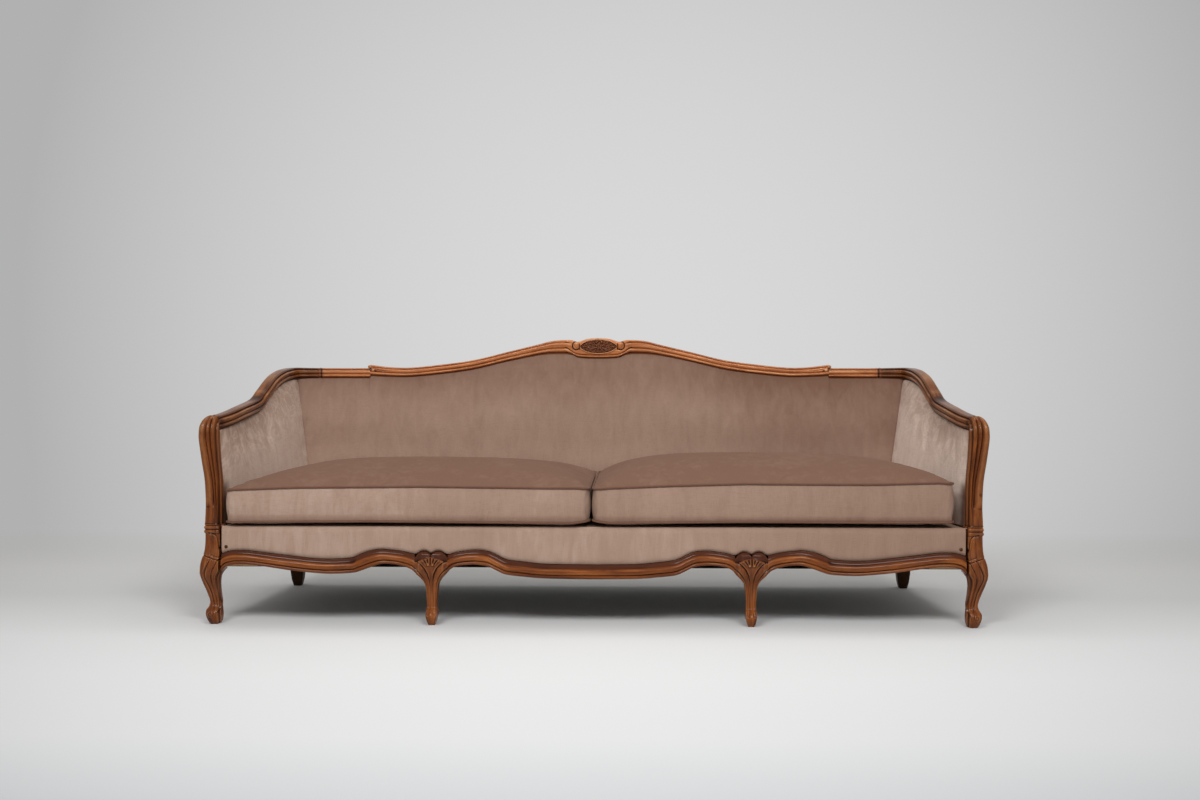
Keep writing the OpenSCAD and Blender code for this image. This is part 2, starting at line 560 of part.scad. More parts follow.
// ---- Back frame behind the upholstery ----
lower_rail_t = 22;
lower_rail_h = 40;
lower_rail_rise = 11;
lower_rail_z = deck_h + lower_rail_rise;
lower_rail_y = rear_front_y - lower_rail_t / 10;
lower_rail_in = 18;
upright_t = 20;
upright_w = 45;
upright_foot_y = lower_rail_y + lower_rail_t + joint_gap;
upright_head_y = top_rail_y - 0.21 * top_rail_d;
function camel_under(k) = let (p = half_camel[k]) p[1] - p[2];
function upright_top(x) = min([for (i = [0:len(half_camel) - 2])
    if (half_camel[i + 1][0] >= x - upright_w / 2 && half_camel[i][0] <= x + upright_w / 2)
        min(camel_under(i), camel_under(i + 1))]) - joint_gap;

module back_lower_rail() {
    color("burlywood") block([-rear_in - lower_rail_in, lower_rail_y, lower_rail_z],
        [2 * (rear_in + lower_rail_in), lower_rail_t, lower_rail_h]);
}

module back_uprights() {
    color("burlywood") for (x = [-upright_x, 0, upright_x]) {
        top = upright_top(abs(x));
        translate([x + upright_w / 2, 0, 0]) rotate([90, 0, -90]) linear_extrude(upright_w)
            polygon([[-upright_foot_y, board_top], [-upright_foot_y - upright_t, board_top],
                [-upright_head_y - upright_t, top], [-upright_head_y, top]]);
    }
}

// ---- Arm frame: a rail above the seat that the arm coverings are drawn down to ----
arm_base_t = 20;
arm_base_h = 26;
arm_base_z = board_top + joint_gap;
module arm_base_rails() {
    color("burlywood") both_sides() translate([0, 0, arm_base_z]) linear_extrude(arm_base_h - soft_gap)
        polygon([[side_front_x, front_back_y], [side_rear_x - board_t * 0.1, rear_front_y],
            [side_rear_x - board_t * 0.1 - arm_base_t, rear_front_y],
            [side_front_x - arm_base_t, front_back_y]]);
}

// ---- Suspension ----
clip_t = 1.2;
clip_w = 14;
clip_l = 20;
spring_pitch = 34;
spring_y0 = board_front_y + board_t / 2;
spring_y1 = rear_rail_y + board_t / 2;
spring_reach = rear_in - corner_leg;
function spring_x(i) = lerp(-spring_reach, spring_reach, i / (spring_count - 1));
// The uprights of the back stand midway between two springs
upright_x = spring_x(spring_count / 2 + 1.5);
bends = round((spring_y1 - spring_y0) / spring_pitch);
bend_l = (spring_y1 - spring_y0) / bends;
// One bend is half a turn between straight runs across the spring
bend_steps = 4;
function bend_line(k) = let (side = k % 2 == 0 ? 1 : -1, r = bend_l / 2, y = spring_y0 + (k + 0.5) * bend_l)
    [for (a = [0:bend_steps]) let (turn = 180 * a / bend_steps)
        [side * (bend_w / 2 - r + r * sin(turn)), y - r * cos(turn)]];
spring_line = [for (k = [0:bends - 1]) each bend_line(k)];
last_wire = len(spring_line) - 1;
function wire_normal(i) = let (d = unit(spring_line[min(i + 1, last_wire)] - spring_line[max(i - 1, 0)]))
    [-d[1], d[0]];
wire_outline = concat([for (i = [0:last_wire]) spring_line[i] + wire_normal(i) * wire / 2],
    [for (i = [last_wire:-1:0]) spring_line[i] - wire_normal(i) * wire / 2]);

module seat_springs() {
    color("dimgray") for (i = [0:spring_count - 1])
        translate([spring_x(i), 0, board_top + clip_t]) linear_extrude(wire) polygon(wire_outline);
}

// A folded steel clip round the wire's end, nailed to the top of the rail
module spring_clip(y, turn) {
    for (z = [0, clip_t + wire])
        block([-clip_w / 2, y - clip_l / 2, board_top + z], [clip_w, clip_l, clip_t]);
    block([-clip_w / 2, turn > 0 ? y + clip_l / 2 - clip_t : y - clip_l / 2, board_top],
        [clip_w, clip_t, wire + 2 * clip_t]);
}

module spring_clips() {
    color("silver") for (i = [0:spring_count - 1]) translate([spring_x(i), 0, 0]) {
        spring_clip(spring_y0 - wire, -1);
        spring_clip(spring_y1 + wire, 1);
    }
}

hessian_z = board_top + 2 * clip_t + wire + joint_gap;
hessian_t = 1.5;
deck_front_x = stile_in - soft_gap;
deck_rear_x = rear_in - soft_gap;
deck_rear_y = rear_front_y - lower_rail_t;
deck_outline = [[-deck_front_x, board_front_y], [deck_front_x, board_front_y], [deck_rear_x, deck_rear_y],
    [-deck_rear_x, deck_rear_y]];

module spring_hessian() {
    color("tan") translate([0, 0, hessian_z]) linear_extrude(hessian_t) polygon(deck_outline);
}

module seat_platform() {
    platform_z = hessian_z + hessian_t;
    color("rosybrown") translate([0, 0, platform_z]) linear_extrude(deck_h - platform_z)
        polygon(deck_outline);
}

// ---- Front border: the covered band between the carved rail and the deck ----
border_t = 12;
border_shares = [[0, 0], [0.7, 0], [1, 0.3], [0.96, 0.75], [0.6, 1], [0, 1]];
border_back_y = board_front_y - soft_gap;
// Across a middle leg the border follows the shell's two petals, a little above them
petal_clear = 1;
leg_cross_shares = [-1, -0.85, -0.65, -0.44, -0.22, 0, 0.22, 0.44, 0.65, 0.85, 1];
rail_end_z = outer_edge[0][1] + outer_edge[0][2];
petal = petal_shares[0];
function petal_top(u) = let (v = (abs(u) - petal[0]) / petal[2])
    board_top * (petal[1] + petal[3] * sqrt(max(0, 1 - v * v)));
function leg_border(side) = [for (u = leg_cross_shares) let (x = u * (mid_block_w / 2 - soft_gap))
    [side * mid_x + x, max(petal_top(2 * x / mid_block_w) + petal_clear, rail_end_z)]];
border_edge = concat([for (p = backwards(outer_edge)) [-p[0], p[1] + p[2]]], leg_border(-1),
    [for (p = centre_edge) [p[0], p[1] + p[2]]], leg_border(1), [for (p = outer_edge) [p[0], p[1] + p[2]]]);
function border_x(x) = min(max(x, -stile_in + soft_gap), stile_in - soft_gap);
function border_ring(p) = [for (s = border_shares)
    [border_x(p[0]), border_back_y - s[0] * border_t, lerp(p[1] + soft_gap, deck_h, s[1])]];

module front_border() {
    rings = [for (p = border_edge) border_ring(p)];
    last = len(rings) - 1;
    color("rosybrown") loft(rings, middle(rings[0]), middle(rings[last]));
}

// A round-headed nail at each end of the border
nail_r = 5;
nail_h = 3;
nail_in = 15;
nail_z = lerp(rail_low + face_h, deck_h, 0.45);
module border_nails() {
    color("darkgoldenrod") for (side = [-1, 1])
        translate([side * (stile_in - nail_in), border_back_y - border_t - joint_gap, nail_z])
            rotate([90, 0, 0]) rotate_extrude($fn = 48) polygon([[0, 0], [nail_r, 0],
                [nail_r * 0.86, nail_h * 0.5], [nail_r * 0.5, nail_h * 0.87], [0, nail_h]]);
}

// ---- Back pad, arm pads and outside coverings ----
pad_z = deck_h + soft_gap;
// Room between the pads and the rear stiles
stile_clear = 1.2;
// The corner where the coverings of the arm and the back meet: distance from the rear stile, low and high
crease_low_in = 54;
crease_low_out = 70;
crease_top_in = 9;
crease_low_x = rear_in - crease_low_in;
crease_low_y = rear_front_y - crease_low_out;
crease_top_x = rear_face_x(1) - crease_top_in;
crease_top_y = top_rail_y - top_rail_d * 0.35;
back_bulge = 14;
pad_low_t = 56;
pad_top_t = 5;
// Back pad section: from its front to its back, and up
pad_shares = [[1, 0], [0, 0], [0, 0.25], [0, 0.5], [0, 0.75], [0, 1], [1, 1], [1, 0.5]];
function back_front_y(s) = lerp(crease_low_y, crease_top_y, s);
function back_thick(s) = lerp(pad_low_t, pad_top_t, s);
function back_bow(s) = back_bulge * 4 * s * (1 - s);
function back_y(p, fill) = back_front_y(p[1]) + p[0] * back_thick(p[1])
    - (p[0] == 0 ? back_bow(p[1]) * fill : 0);
seam_under = side_h - top_rail_h;
back_stations = concat([[-seam_x, seam_under]], [for (p = camel) [p[0], p[1] - p[2]]],
    [[seam_x, seam_under]]);
function back_low(p) = abs(p[0]) >= camel_x ? min(p[1], seam_under) : p[1];
function back_ring(p) = [for (q = pad_shares)
    [p[0], back_y(q, 1 - pow(abs(p[0]) / seam_x, 4)), lerp(pad_z, back_low(p) - soft_gap, q[1])]];
function back_end(side) = [for (q = pad_shares)
    [side * (rear_face_x(q[1]) - stile_clear), back_y(q, 0), lerp(pad_z, corner_under_z - soft_gap, q[1])]];

module back_pad() {
    rings = concat([back_end(-1)], [for (p = back_stations) back_ring(p)], [back_end(1)]);
    last = len(rings) - 1;
    color("rosybrown") loft(rings, middle(rings[0]), middle(rings[last]));
}

// Arm pad: rings under the arm rail, fanned so that the last one lies along the back pad
function arm_pad_front(s) = stile_in + block_w * lerp(0.08, 0.34, s);
arm_pad_bow = 6;
arm_pad_count = last_arm - 5;
function arm_foot(i) = arm_path[i] - arm_up(i) * (arm_tall(i) / 2 + soft_gap);
function arm_share(i) = (arm_foot(i)[1] - front_back_y) / (crease_top_y - front_back_y);
function arm_pad_ring(t, top) = [for (q = [[1, 0], [0, 0], [0, 0.3], [0, 0.65], [0, 1], [1, 1], [1, 0.5]])
    let (s = q[1], end_x = lerp(crease_low_x, crease_top_x, s), out_x = rear_face_x(s) - stile_clear,
        bow = arm_pad_bow * 4 * s * (1 - s) * 4 * t * (1 - t))
    [lerp(lerp(arm_pad_front(s), end_x, t) - bow, lerp(arm_pad_front(s) + arm_base_t / 2, out_x, t), q[0]),
        lerp(front_back_y + soft_gap, back_front_y(s) - soft_gap, t), lerp(pad_z, top, s)]];
arm_pad_rings = concat(
    [arm_pad_ring(0, arm_foot(0)[2])],
    [for (i = [1:arm_pad_count]) arm_pad_ring(arm_share(i), arm_foot(i)[2])],
    [arm_pad_ring(1, corner_under_z - 2 * soft_gap)]);

module arm_pad() {
    last = len(arm_pad_rings) - 1;
    color("rosybrown") loft(arm_pad_rings, middle(arm_pad_rings[0]), middle(arm_pad_rings[last]));
}

// Outside coverings: thin padded sheets from the seat rails up to the arm and top rails
cover_t = 3.5;
cover_low_z = rail_low + arch_rise + face_h + soft_gap;
outside_low_y = rear_rail_y + board_t + soft_gap;
outside_top_y = top_rail_y + top_rail_d * 0.3;
function outside_back_ring(p) = let (top = back_low(p) - soft_gap) [
    [p[0], outside_low_y, cover_low_z], [p[0], outside_low_y + cover_t, cover_low_z],
    [p[0], outside_top_y + cover_t, top], [p[0], outside_top_y, top]];

outside_end = [rear_in + rear_block_w * 0.8, corner_under_z];
module outside_back() {
    rings = concat([outside_back_ring([-outside_end[0], outside_end[1]])],
        [for (p = back_stations) outside_back_ring(p)], [outside_back_ring(outside_end)]);
    last = len(rings) - 1;
    color("rosybrown") loft(rings, middle(rings[0]), middle(rings[last]));
}

// Clearance under the arm rail, and the place under the rail's ring i that lies straight above the side rail
rail_clear = 0.8;
function cover_foot(i) = let (n = arm_in(i), p = arm_foot(i), x = side_x(arm_share(i)) + cover_t / 2)
    p + n * ((x - p[0]) / n[0]);
function cover_share(i) = (cover_foot(i)[1] - front_back_y) / (rear_front_y - front_back_y);
function outside_arm_ring(t, top) = let (x = side_x(t) + soft_gap,
    y = lerp(front_back_y + soft_gap, rear_front_y - soft_gap, t))
    [[x, y, cover_low_z], [x + cover_t, y, cover_low_z], [x + cover_t, y, top], [x, y, top]];
module outside_arm() {
    places = [for (i = [1:arm_pad_count]) if (cover_share(i) < 1) i];
    rings = concat([outside_arm_ring(0, arm_foot(0)[2] - rail_clear)],
        [for (i = places) outside_arm_ring(cover_share(i), cover_foot(i)[2] - rail_clear)],
        [outside_arm_ring(1, cover_foot(places[len(places) - 1])[2] - rail_clear)]);
    color("rosybrown") loft(backwards(rings), middle(rings[len(rings) - 1]), middle(rings[0]));
}

// ---- Webbing of the back and dust cover ----
strap_w = 60;
strap_t = 1.5;
strap_count = 9;
module back_webbing() {
    color("tan") for (k = [0:strap_count - 1]) {
        x = lerp(-camel_x + strap_w, camel_x - strap_w, k / (strap_count - 1));
        top = upright_top(abs(x)) - top_rail_h;
        s = (top - pad_z) / (top + top_rail_h - pad_z);
        y0 = back_front_y(0) + back_thick(0);
        y1 = back_front_y(s) + back_thick(s);
        translate([x + strap_w / 2, 0, 0]) rotate([90, 0, -90]) linear_extrude(strap_w)
            polygon([[-y0 - soft_gap, pad_z], [-y0 - soft_gap - strap_t, pad_z],
                [-y1 - soft_gap - strap_t, top], [-y1 - soft_gap, top]]);
    }
}

// The dust cover is notched round the blocks of the middle legs
dust_t = 1.5;
function dust_notch(x) = [for (u = [-1, 1]) let (edge_x = x + u * (mid_block_w / 2 + soft_gap))
    each u < 0 ? [[edge_x, front_corner_y], [edge_x, mid_back_y + soft_gap]] :
        [[edge_x, mid_back_y + soft_gap], [edge_x, front_corner_y]]];
function dust_rear(side) = [for (y = [rear_front_y - soft_gap, rear_corner_y])
    [side * (rear_corner_x - soft_gap), y]];
module dust_cover() {
    color("black") translate([0, 0, under_z - dust_t - joint_gap]) linear_extrude(dust_t)
        polygon(concat(dust_notch(-mid_x), dust_notch(mid_x),
            [[front_corner_x, front_corner_y]], dust_rear(1), backwards(dust_rear(-1)),
            [[-front_corner_x, front_corner_y]]));
}

// ---- Loose seat cushions ----
cushion_front_y = board_front_y - face_out;
cushion_rear_y = cushion_front_y + cushion_d;
// Room beside the cushions at the front and at the back, and under their lower piping
cushion_front_gap = 22;
cushion_rear_gap = 15;
cushion_lift = 12;
cushion_front_x = stile_in - cushion_front_gap;
cushion_rear_x = crease_low_x - cushion_rear_gap;
cushion_low = deck_h + cushion_lift;
cushion_top = cushion_low + cushion_h;
rim_points = 32;
// Insets as shares of the depth, and heights: below the boxed edge, on it and over the crown
under_shares = [[0.32, 0], [0.1, 0.1], [0.02, 0.55]];
crown_shares = [[0.02, 0.12], [0.055, 0.3], [0.125, 0.58], [0.24, 0.85], [0.365, 0.98]];
side_shares = [[0.25, 0.7], [0.5, 1], [0.75, 0.7]];
side_bow = 7;
function rim(a, p) = let (c = cos(a), s = sin(a))
    [sign(c) * pow(abs(c), 2 / p), sign(s) * pow(abs(s), 2 / p)];
function cushion_point(a, inset, z) = let (half_w = (cushion_front_x + cushion_rear_x) / 4,
    square = lerp(16, 3, max(inset, 0) / (cushion_d / 2)), q = rim(a, square),
    v = q[1] * (1 - 2 * inset / cushion_d), u = q[0] * (1 - inset / half_w),
    y = lerp(cushion_front_y, cushion_rear_y, (v + 1) / 2),
    outer = lerp(cushion_front_x, cushion_rear_x, (v + 1) / 2))
    [lerp(cushion_gap / 2, outer, (u + 1) / 2), y, z];
function cushion_ring(inset, z) = [for (k = [0:rim_points - 1])
    cushion_point(360 * (k + 0.5) / rim_points, inset, z)];
function welt_rings(z) = [cushion_ring(side_bow / 2, z - welt_r),
    cushion_ring(side_bow / 2 - welt_r * 0.7, z), cushion_ring(side_bow / 2, z + welt_r)];
cushion_rings = concat(
    [for (p = under_shares) cushion_ring(side_bow + p[0] * cushion_d,
        lerp(deck_h + soft_gap, cushion_low - welt_r, p[1]))],
    welt_rings(cushion_low),
    [for (p = side_shares) cushion_ring(side_bow * (1 - p[1]) / 2, lerp(cushion_low, cushion_top, p[0]))],
    welt_rings(cushion_top),
    [for (p = crown_shares) cushion_ring(side_bow + p[0] * cushion_d,
        cushion_top + welt_r + p[1] * (crown_h - welt_r))]);
cushion_mid = [(cushion_gap / 2 + (cushion_front_x + cushion_rear_x) / 2) / 2,
    (cushion_front_y + cushion_rear_y) / 2];

module seat_cushion() {
    color("rosybrown") loft(cushion_rings, [cushion_mid[0], cushion_mid[1], deck_h + soft_gap],
        [cushion_mid[0], cushion_mid[1], cushion_top + crown_h]);
}

mirror([1, 0, 0]) front_stile();  // front_stile_left
front_stile();  // front_stile_right
mirror([1, 0, 0]) mid_leg();  // mid_leg_left
mid_leg();  // mid_leg_right
mirror([1, 0, 0]) rear_stile();  // rear_stile_left
rear_stile();  // rear_stile_right
mirror([1, 0, 0]) front_rail_outer();  // front_rail_left
front_rail_centre();
front_rail_outer();  // front_rail_right
mirror([1, 0, 0]) side_rail();  // side_rail_left
side_rail();  // side_rail_right
rear_seat_rail();
mirror([1, 0, 0]) arm_rail();  // arm_rail_left
arm_rail();  // arm_rail_right
mirror([1, 0, 0]) top_rail_side();  // top_rail_left
top_rail_centre();
top_rail_side();  // top_rail_right
seat_cross_rails();
corner_blocks();
corner_block_screws();
back_lower_rail();
back_uprights();
arm_base_rails();
back_webbing();
seat_springs();
spring_clips();
spring_hessian();
seat_platform();
front_border();
border_nails();
back_pad();
mirror([1, 0, 0]) arm_pad();  // arm_pad_left
arm_pad();  // arm_pad_right
outside_back();
mirror([1, 0, 0]) outside_arm();  // outside_arm_left
outside_arm();  // outside_arm_right
dust_cover();
mirror([1, 0, 0]) seat_cushion();  // seat_cushion_left
seat_cushion();  // seat_cushion_right
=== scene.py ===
import math

import bpy
import numpy as np
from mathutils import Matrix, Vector


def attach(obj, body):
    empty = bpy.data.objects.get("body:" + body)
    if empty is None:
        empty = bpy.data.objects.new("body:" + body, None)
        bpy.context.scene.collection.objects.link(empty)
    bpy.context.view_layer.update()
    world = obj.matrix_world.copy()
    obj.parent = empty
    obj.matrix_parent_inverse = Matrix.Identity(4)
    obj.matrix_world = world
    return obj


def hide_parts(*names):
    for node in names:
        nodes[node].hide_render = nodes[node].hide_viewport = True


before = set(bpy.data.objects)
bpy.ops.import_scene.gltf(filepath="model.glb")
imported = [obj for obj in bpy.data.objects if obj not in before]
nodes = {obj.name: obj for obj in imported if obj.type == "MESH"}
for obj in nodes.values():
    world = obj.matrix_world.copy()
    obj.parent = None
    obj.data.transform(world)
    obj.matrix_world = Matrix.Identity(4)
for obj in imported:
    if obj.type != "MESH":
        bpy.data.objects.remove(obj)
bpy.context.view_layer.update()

# Every shape below is worked out in millimetres, in the same frame as the solids, and made in metres.
MM = 0.001
SIDES = (("right", 1), ("left", -1))
scene = bpy.context.scene


def shade(red, green, blue):
    """A colour as a painter's chart gives it, 0 to 255, made linear."""
    parts = [c / 255 for c in (red, green, blue)]
    return tuple(c / 12.92 if c <= 0.04045 else ((c + 0.055) / 1.055) ** 2.4 for c in parts) + (1,)


def between(a, b, t):
    return a + (b - a) * t


def soft_step(x, low, high):
    t = np.clip((x - low) / (high - low), 0, 1)
    return t * t * (3 - 2 * t)


# ---------------------------------------------------------------- finishes

def wired(tree, kind, feeds=None, **settings):
    """A new node with its settings; each input is joined to the socket, or set to the value, given for it."""
    node = tree.nodes.new(kind)
    for key, value in settings.items():
        setattr(node, key, value)
    for key, value in (feeds or {}).items():
        if isinstance(value, bpy.types.NodeSocket):
            tree.links.new(value, node.inputs[key])
        else:
            node.inputs[key].default_value = value
    return node


class Finish:
    """A material whose nodes are laid one after another."""

    def __init__(self, name):
        self.material = bpy.data.materials.new(name)
        self.material.use_nodes = True
        self.tree = self.material.node_tree
        self.tree.nodes.clear()

    def add(self, kind, feeds=None, **settings):
        return wired(self.tree, kind, feeds, **settings)

    def surface(self, **values):
        feeds = {key.replace("_", " "): value for key, value in values.items()}
        return self.add("ShaderNodeBsdfPrincipled", feeds).outputs[0]

    def shown(self, shader):
        self.add("ShaderNodeOutputMaterial", {"Surface": shader})
        return self.material

    def place(self, scale=(1, 1, 1), turn=(0, 0, 0), source="Object"):
        """The piece's own coordinates, stretched so that a pattern has the size given."""
        where = self.add("ShaderNodeTexCoord").outputs[source]
        return self.add("ShaderNodeMapping", {"Vector": where, "Scale": scale, "Rotation": turn}).outputs[0]

    def grainy(self, where, scale, detail=3, rough=0.5, bend=0.0):
        return self.add("ShaderNodeTexNoise", {"Vector": where, "Scale": scale, "Detail": detail,
                                               "Roughness": rough, "Distortion": bend}).outputs["Fac"]

    def steps(self, value, stops):
        node = self.add("ShaderNodeValToRGB", {0: value})
        ramp = node.color_ramp
        while len(ramp.elements) < len(stops):
            ramp.elements.new(0.5)
        for element, (at, colour) in zip(ramp.elements, stops):
            element.position = at
            element.color = colour if hasattr(colour, "__len__") else (colour, colour, colour, 1)
        return node.outputs[0]

    def mixed(self, share, a, b, how="MIX"):
        return self.add("ShaderNodeMix", {0: share, 6: a, 7: b}, data_type="RGBA", blend_type=how).outputs[2]

    def sum(self, a, b, how="MULTIPLY_ADD", c=0.0):
        """Two numbers put together; without a word for how, a times b, and c added."""
        return self.add("ShaderNodeMath", {0: a, 1: b, 2: c}, operation=how).outputs[0]

    def own(self, name):
        """A value that the piece's mesh carries at each of its points."""
        return self.add("ShaderNodeAttribute", attribute_name=name).outputs["Fac"]

    def bumpy(self, height, distance, strength, **under):
        return self.add("ShaderNodeBump", {"Height": height, "Distance": distance, "Strength": strength,
                                           **under}).outputs[0]


def walnut(name, dark, mid, light, stain, glaze, worn, source="UV", carved=True, polish=1.0):
    """Stained and varnished walnut: grain along the piece, pores, dark glaze in the carving, pale worn ridges, and
    per-point darkening that holds staining and painted light and shade.
    """
    f = Finish(name)
    along = f.place(source=source)
    figure = f.grainy(f.place((5, 55, 55), source=source), 1.0, 4, 0.6, 0.9)
    pores = f.grainy(f.place((45, 900, 900), source=source), 1.0, 2, 0.6)
    wood = f.steps(figure, [(0.3, dark), (0.5, mid), (0.72, light)])
    wood = f.mixed(f.steps(f.grainy(along, 7.0, 2), [(0.35, 0.0), (0.7, 0.5)]), wood, dark)
    wood = f.mixed(f.steps(pores, [(0.36, 0.55), (0.46, 0.0)]), wood, glaze)
    rough = f.sum(figure, 0.2, c=0.34)
    if carved:
        wood = f.mixed(f.sum(f.own("stain"), 1.0, "MULTIPLY"), wood, stain)
        relief = f.own("relief")
        blotch = f.grainy(along, 60.0, 2)
        worn_share = f.sum(f.steps(relief, [(0.62, 0.0), (0.98, 0.42)]), f.sum(blotch, 1.1, c=0.25), "MULTIPLY")
        bare = f.sum(f.own("stain"), -1.0, c=1.0)
        wood = f.mixed(f.sum(worn_share, bare, "MULTIPLY"), wood, worn)
        wood = f.mixed(f.steps(relief, [(0.08, 0.93), (0.3, 0.7), (0.46, 0.0)]), wood, glaze)
        rough = f.sum(f.steps(relief, [(0.2, 0.28), (0.5, 0.0)]), 1.0, c=f.sum(figure, 0.16, c=0.28))
        rough = f.sum(f.own("stain"), 0.35, c=rough)
    return f.shown(f.surface(Base_Color=wood, Roughness=rough, Normal=f.bumpy(pores, 0.00025, 0.35),
                             Coat_Weight=0.32 * polish, Coat_Roughness=0.1, Specular_IOR_Level=0.08 * polish))


def beech(name, dark, light, turn=(0, 0, 0)):
    """Plain beech of the hidden frame, sawn and unvarnished."""
    f = Finish(name)
    figure = f.grainy(f.place((3, 60, 60), turn), 1.0, 4, 0.55, 0.6)
    painted_glints = f.grainy(f.place((60, 700, 700), turn), 1.0, 1)
    wood = f.mixed(f.steps(painted_glints, [(0.4, 0.35), (0.5, 0.0)]), f.steps(figure, [(0.35, dark), (0.65, light)]), dark)
    return f.shown(f.surface(Base_Color=wood, Roughness=f.sum(figure, 0.2, c=0.55),
                             Normal=f.bumpy(painted_glints, 0.0003, 0.4)))


def velvet_cloth(name, light, middle, deep, seam_and_shadow_tone):
    """Cut velvet: its colour turns with the lay of the pile and with painted light and shade, brushed into strokes
    and whorls over a woven ground.
    """
    f = Finish(name)
    drift = f.grainy(f.place(), 4.5, 3, 0.55, 0.8)
    brushed = f.grainy(f.place((38, 38, 7)), 1.0, 4, 0.6, 0.7)
    whorls = f.grainy(f.place(), 8.0, 3, 0.55, 3.2)
    warp = f.grainy(f.place((620, 620, 30)), 1.0, 2, 0.6)
    weft = f.grainy(f.place((40, 40, 620)), 1.0, 2, 0.6)
    marks = f.sum(f.steps(whorls, [(0.40, 0.0), (0.48, 1.0), (0.56, 0.0)]), f.own("whorl"), "MULTIPLY")
    # Each piece's per-point value holds the pile's lay together with painted light and shade for how light falls on
    # it
    lie_and_painted_light = f.sum(drift, 0.2, c=f.sum(brushed, 0.24, c=-0.22))
    lie_and_painted_light = f.sum(marks, -0.13, c=f.sum(lie_and_painted_light, f.own("nap_and_painted_light"), "ADD"))
    cloth = f.steps(lie_and_painted_light, [(0.0, light), (0.5, middle), (1.0, deep)])
    threads = f.sum(f.sum(warp, 0.5), f.sum(weft, 0.5), "ADD")
    cloth = f.mixed(f.steps(threads, [(0.38, 0.2), (0.5, 0.0)]), cloth, deep)
    # This tone darkens the seams, and also paints shadow into dark slots
    cloth = f.mixed(f.own("seam_and_shadow"), cloth, seam_and_shadow_tone)
    bumps = f.bumpy(brushed, 0.0014, 0.22, Normal=f.bumpy(threads, 0.0005, 0.35))
    return f.shown(f.surface(Base_Color=cloth, Roughness=f.sum(brushed, 0.12, c=0.78), Normal=bumps,
                             Sheen_Weight=0.1, Sheen_Roughness=0.42, Sheen_Tint=shade(222, 200, 184),
                             Specular_IOR_Level=0.12))


def woven(name, dark, light, pitch):
    """Plain woven cloth: threads that cross at the pitch given, with slubs."""
    f = Finish(name)
    waves = {"Vector": f.place(), "Scale": 1 / (pitch * MM) / 6.2832, "Distortion": 0.6, "Detail": 1,
             "Detail Scale": 3}
    threads = f.sum(*[f.add("ShaderNodeTexWave", waves, wave_type="BANDS", bands_direction=axis).outputs["Fac"]
                      for axis in "XY"], "MULTIPLY")
    slub = f.grainy(f.place((220, 220, 220)), 1.0, 3, 0.6)
    cloth = f.mixed(threads, dark, light)
    cloth = f.mixed(f.steps(slub, [(0.35, 0.5), (0.6, 0.0)]), cloth, dark)
    return f.shown(f.surface(Base_Color=cloth, Roughness=0.9, Normal=f.bumpy(threads, 0.0005, 0.5), Sheen_Weight=0.1))


def metal(name, bright, tarnish, rough):
    """Bare metal, dulled in patches."""
    f = Finish(name)
    patches = f.grainy(f.place(), 90.0, 3, 0.6)
    fine = f.grainy(f.place(), 1400.0, 2)
    dulled = f.mixed(f.steps(patches, [(0.4, 0.0), (0.62, 0.85)]), bright, tarnish)
    return f.shown(f.surface(Base_Color=dulled, Metallic=1.0, Roughness=f.sum(patches, 0.3, c=rough),
                             Normal=f.bumpy(fine, 0.0001, 0.3)))


def darker(palette, share):
    return {part: tuple(c * share for c in tone[:3]) + (1,) for part, tone in palette.items()}


WALNUT = dict(dark=shade(80, 35, 10), mid=shade(130, 70, 26), light=shade(166, 96, 42), stain=shade(66, 29, 15),
              glaze=shade(30, 11, 4), worn=shade(212, 154, 98))
CREST = dict(dark=shade(142, 80, 44), mid=shade(192, 119, 70), light=shade(220, 153, 102), stain=shade(92, 47, 28),
             glaze=shade(48, 21, 11), worn=shade(238, 198, 156))
ARM = dict(dark=shade(72, 34, 14), mid=shade(118, 66, 30), light=shade(152, 92, 48), stain=shade(60, 27, 14),
           glaze=shade(28, 12, 6), worn=shade(200, 152, 112))
carved_walnut = walnut("carved_walnut", **WALNUT)
arm_walnut = walnut("arm_walnut", **ARM)
crest_walnut = walnut("crest_walnut", **CREST)
rear_walnut = walnut("rear_walnut", **darker(ARM, 0.13), polish=0.3)
beech_along = beech("beech_along", shade(168, 128, 84), shade(200, 164, 118))
beech_deep = beech("beech_deep", shade(168, 128, 84), shade(200, 164, 118), (0, 0, math.pi / 2))
beech_stained = beech("beech_stained", shade(34, 18, 10), shade(54, 31, 18))
beech_upright = beech("beech_upright", shade(162, 122, 80), shade(196, 158, 112), (0, math.pi / 2, 0))
velvet = velvet_cloth("velvet", shade(216, 197, 184), shade(157, 131, 115), shade(114, 85, 70), shade(90, 58, 45))
hessian = woven("hessian", shade(112, 84, 52), shade(184, 152, 108), 1.6)
webbing = woven("webbing", shade(120, 90, 60), shade(196, 170, 130), 2.4)
dust_cloth = woven("dust_cloth", shade(10, 10, 11), shade(34, 34, 36), 1.0)
spring_steel = metal("spring_steel", shade(150, 152, 156), shade(84, 76, 68), 0.3)
screw_steel = metal("screw_steel", shade(190, 184, 170), shade(120, 108, 88), 0.26)
nail_bronze = metal("nail_bronze", shade(92, 64, 42), shade(40, 26, 18), 0.35)
peg_walnut = walnut("peg_walnut", **darker(WALNUT, 0.55), source="Object", carved=False)


# ---------------------------------------------------------------- making and placing pieces

CREASE = math.radians(38)


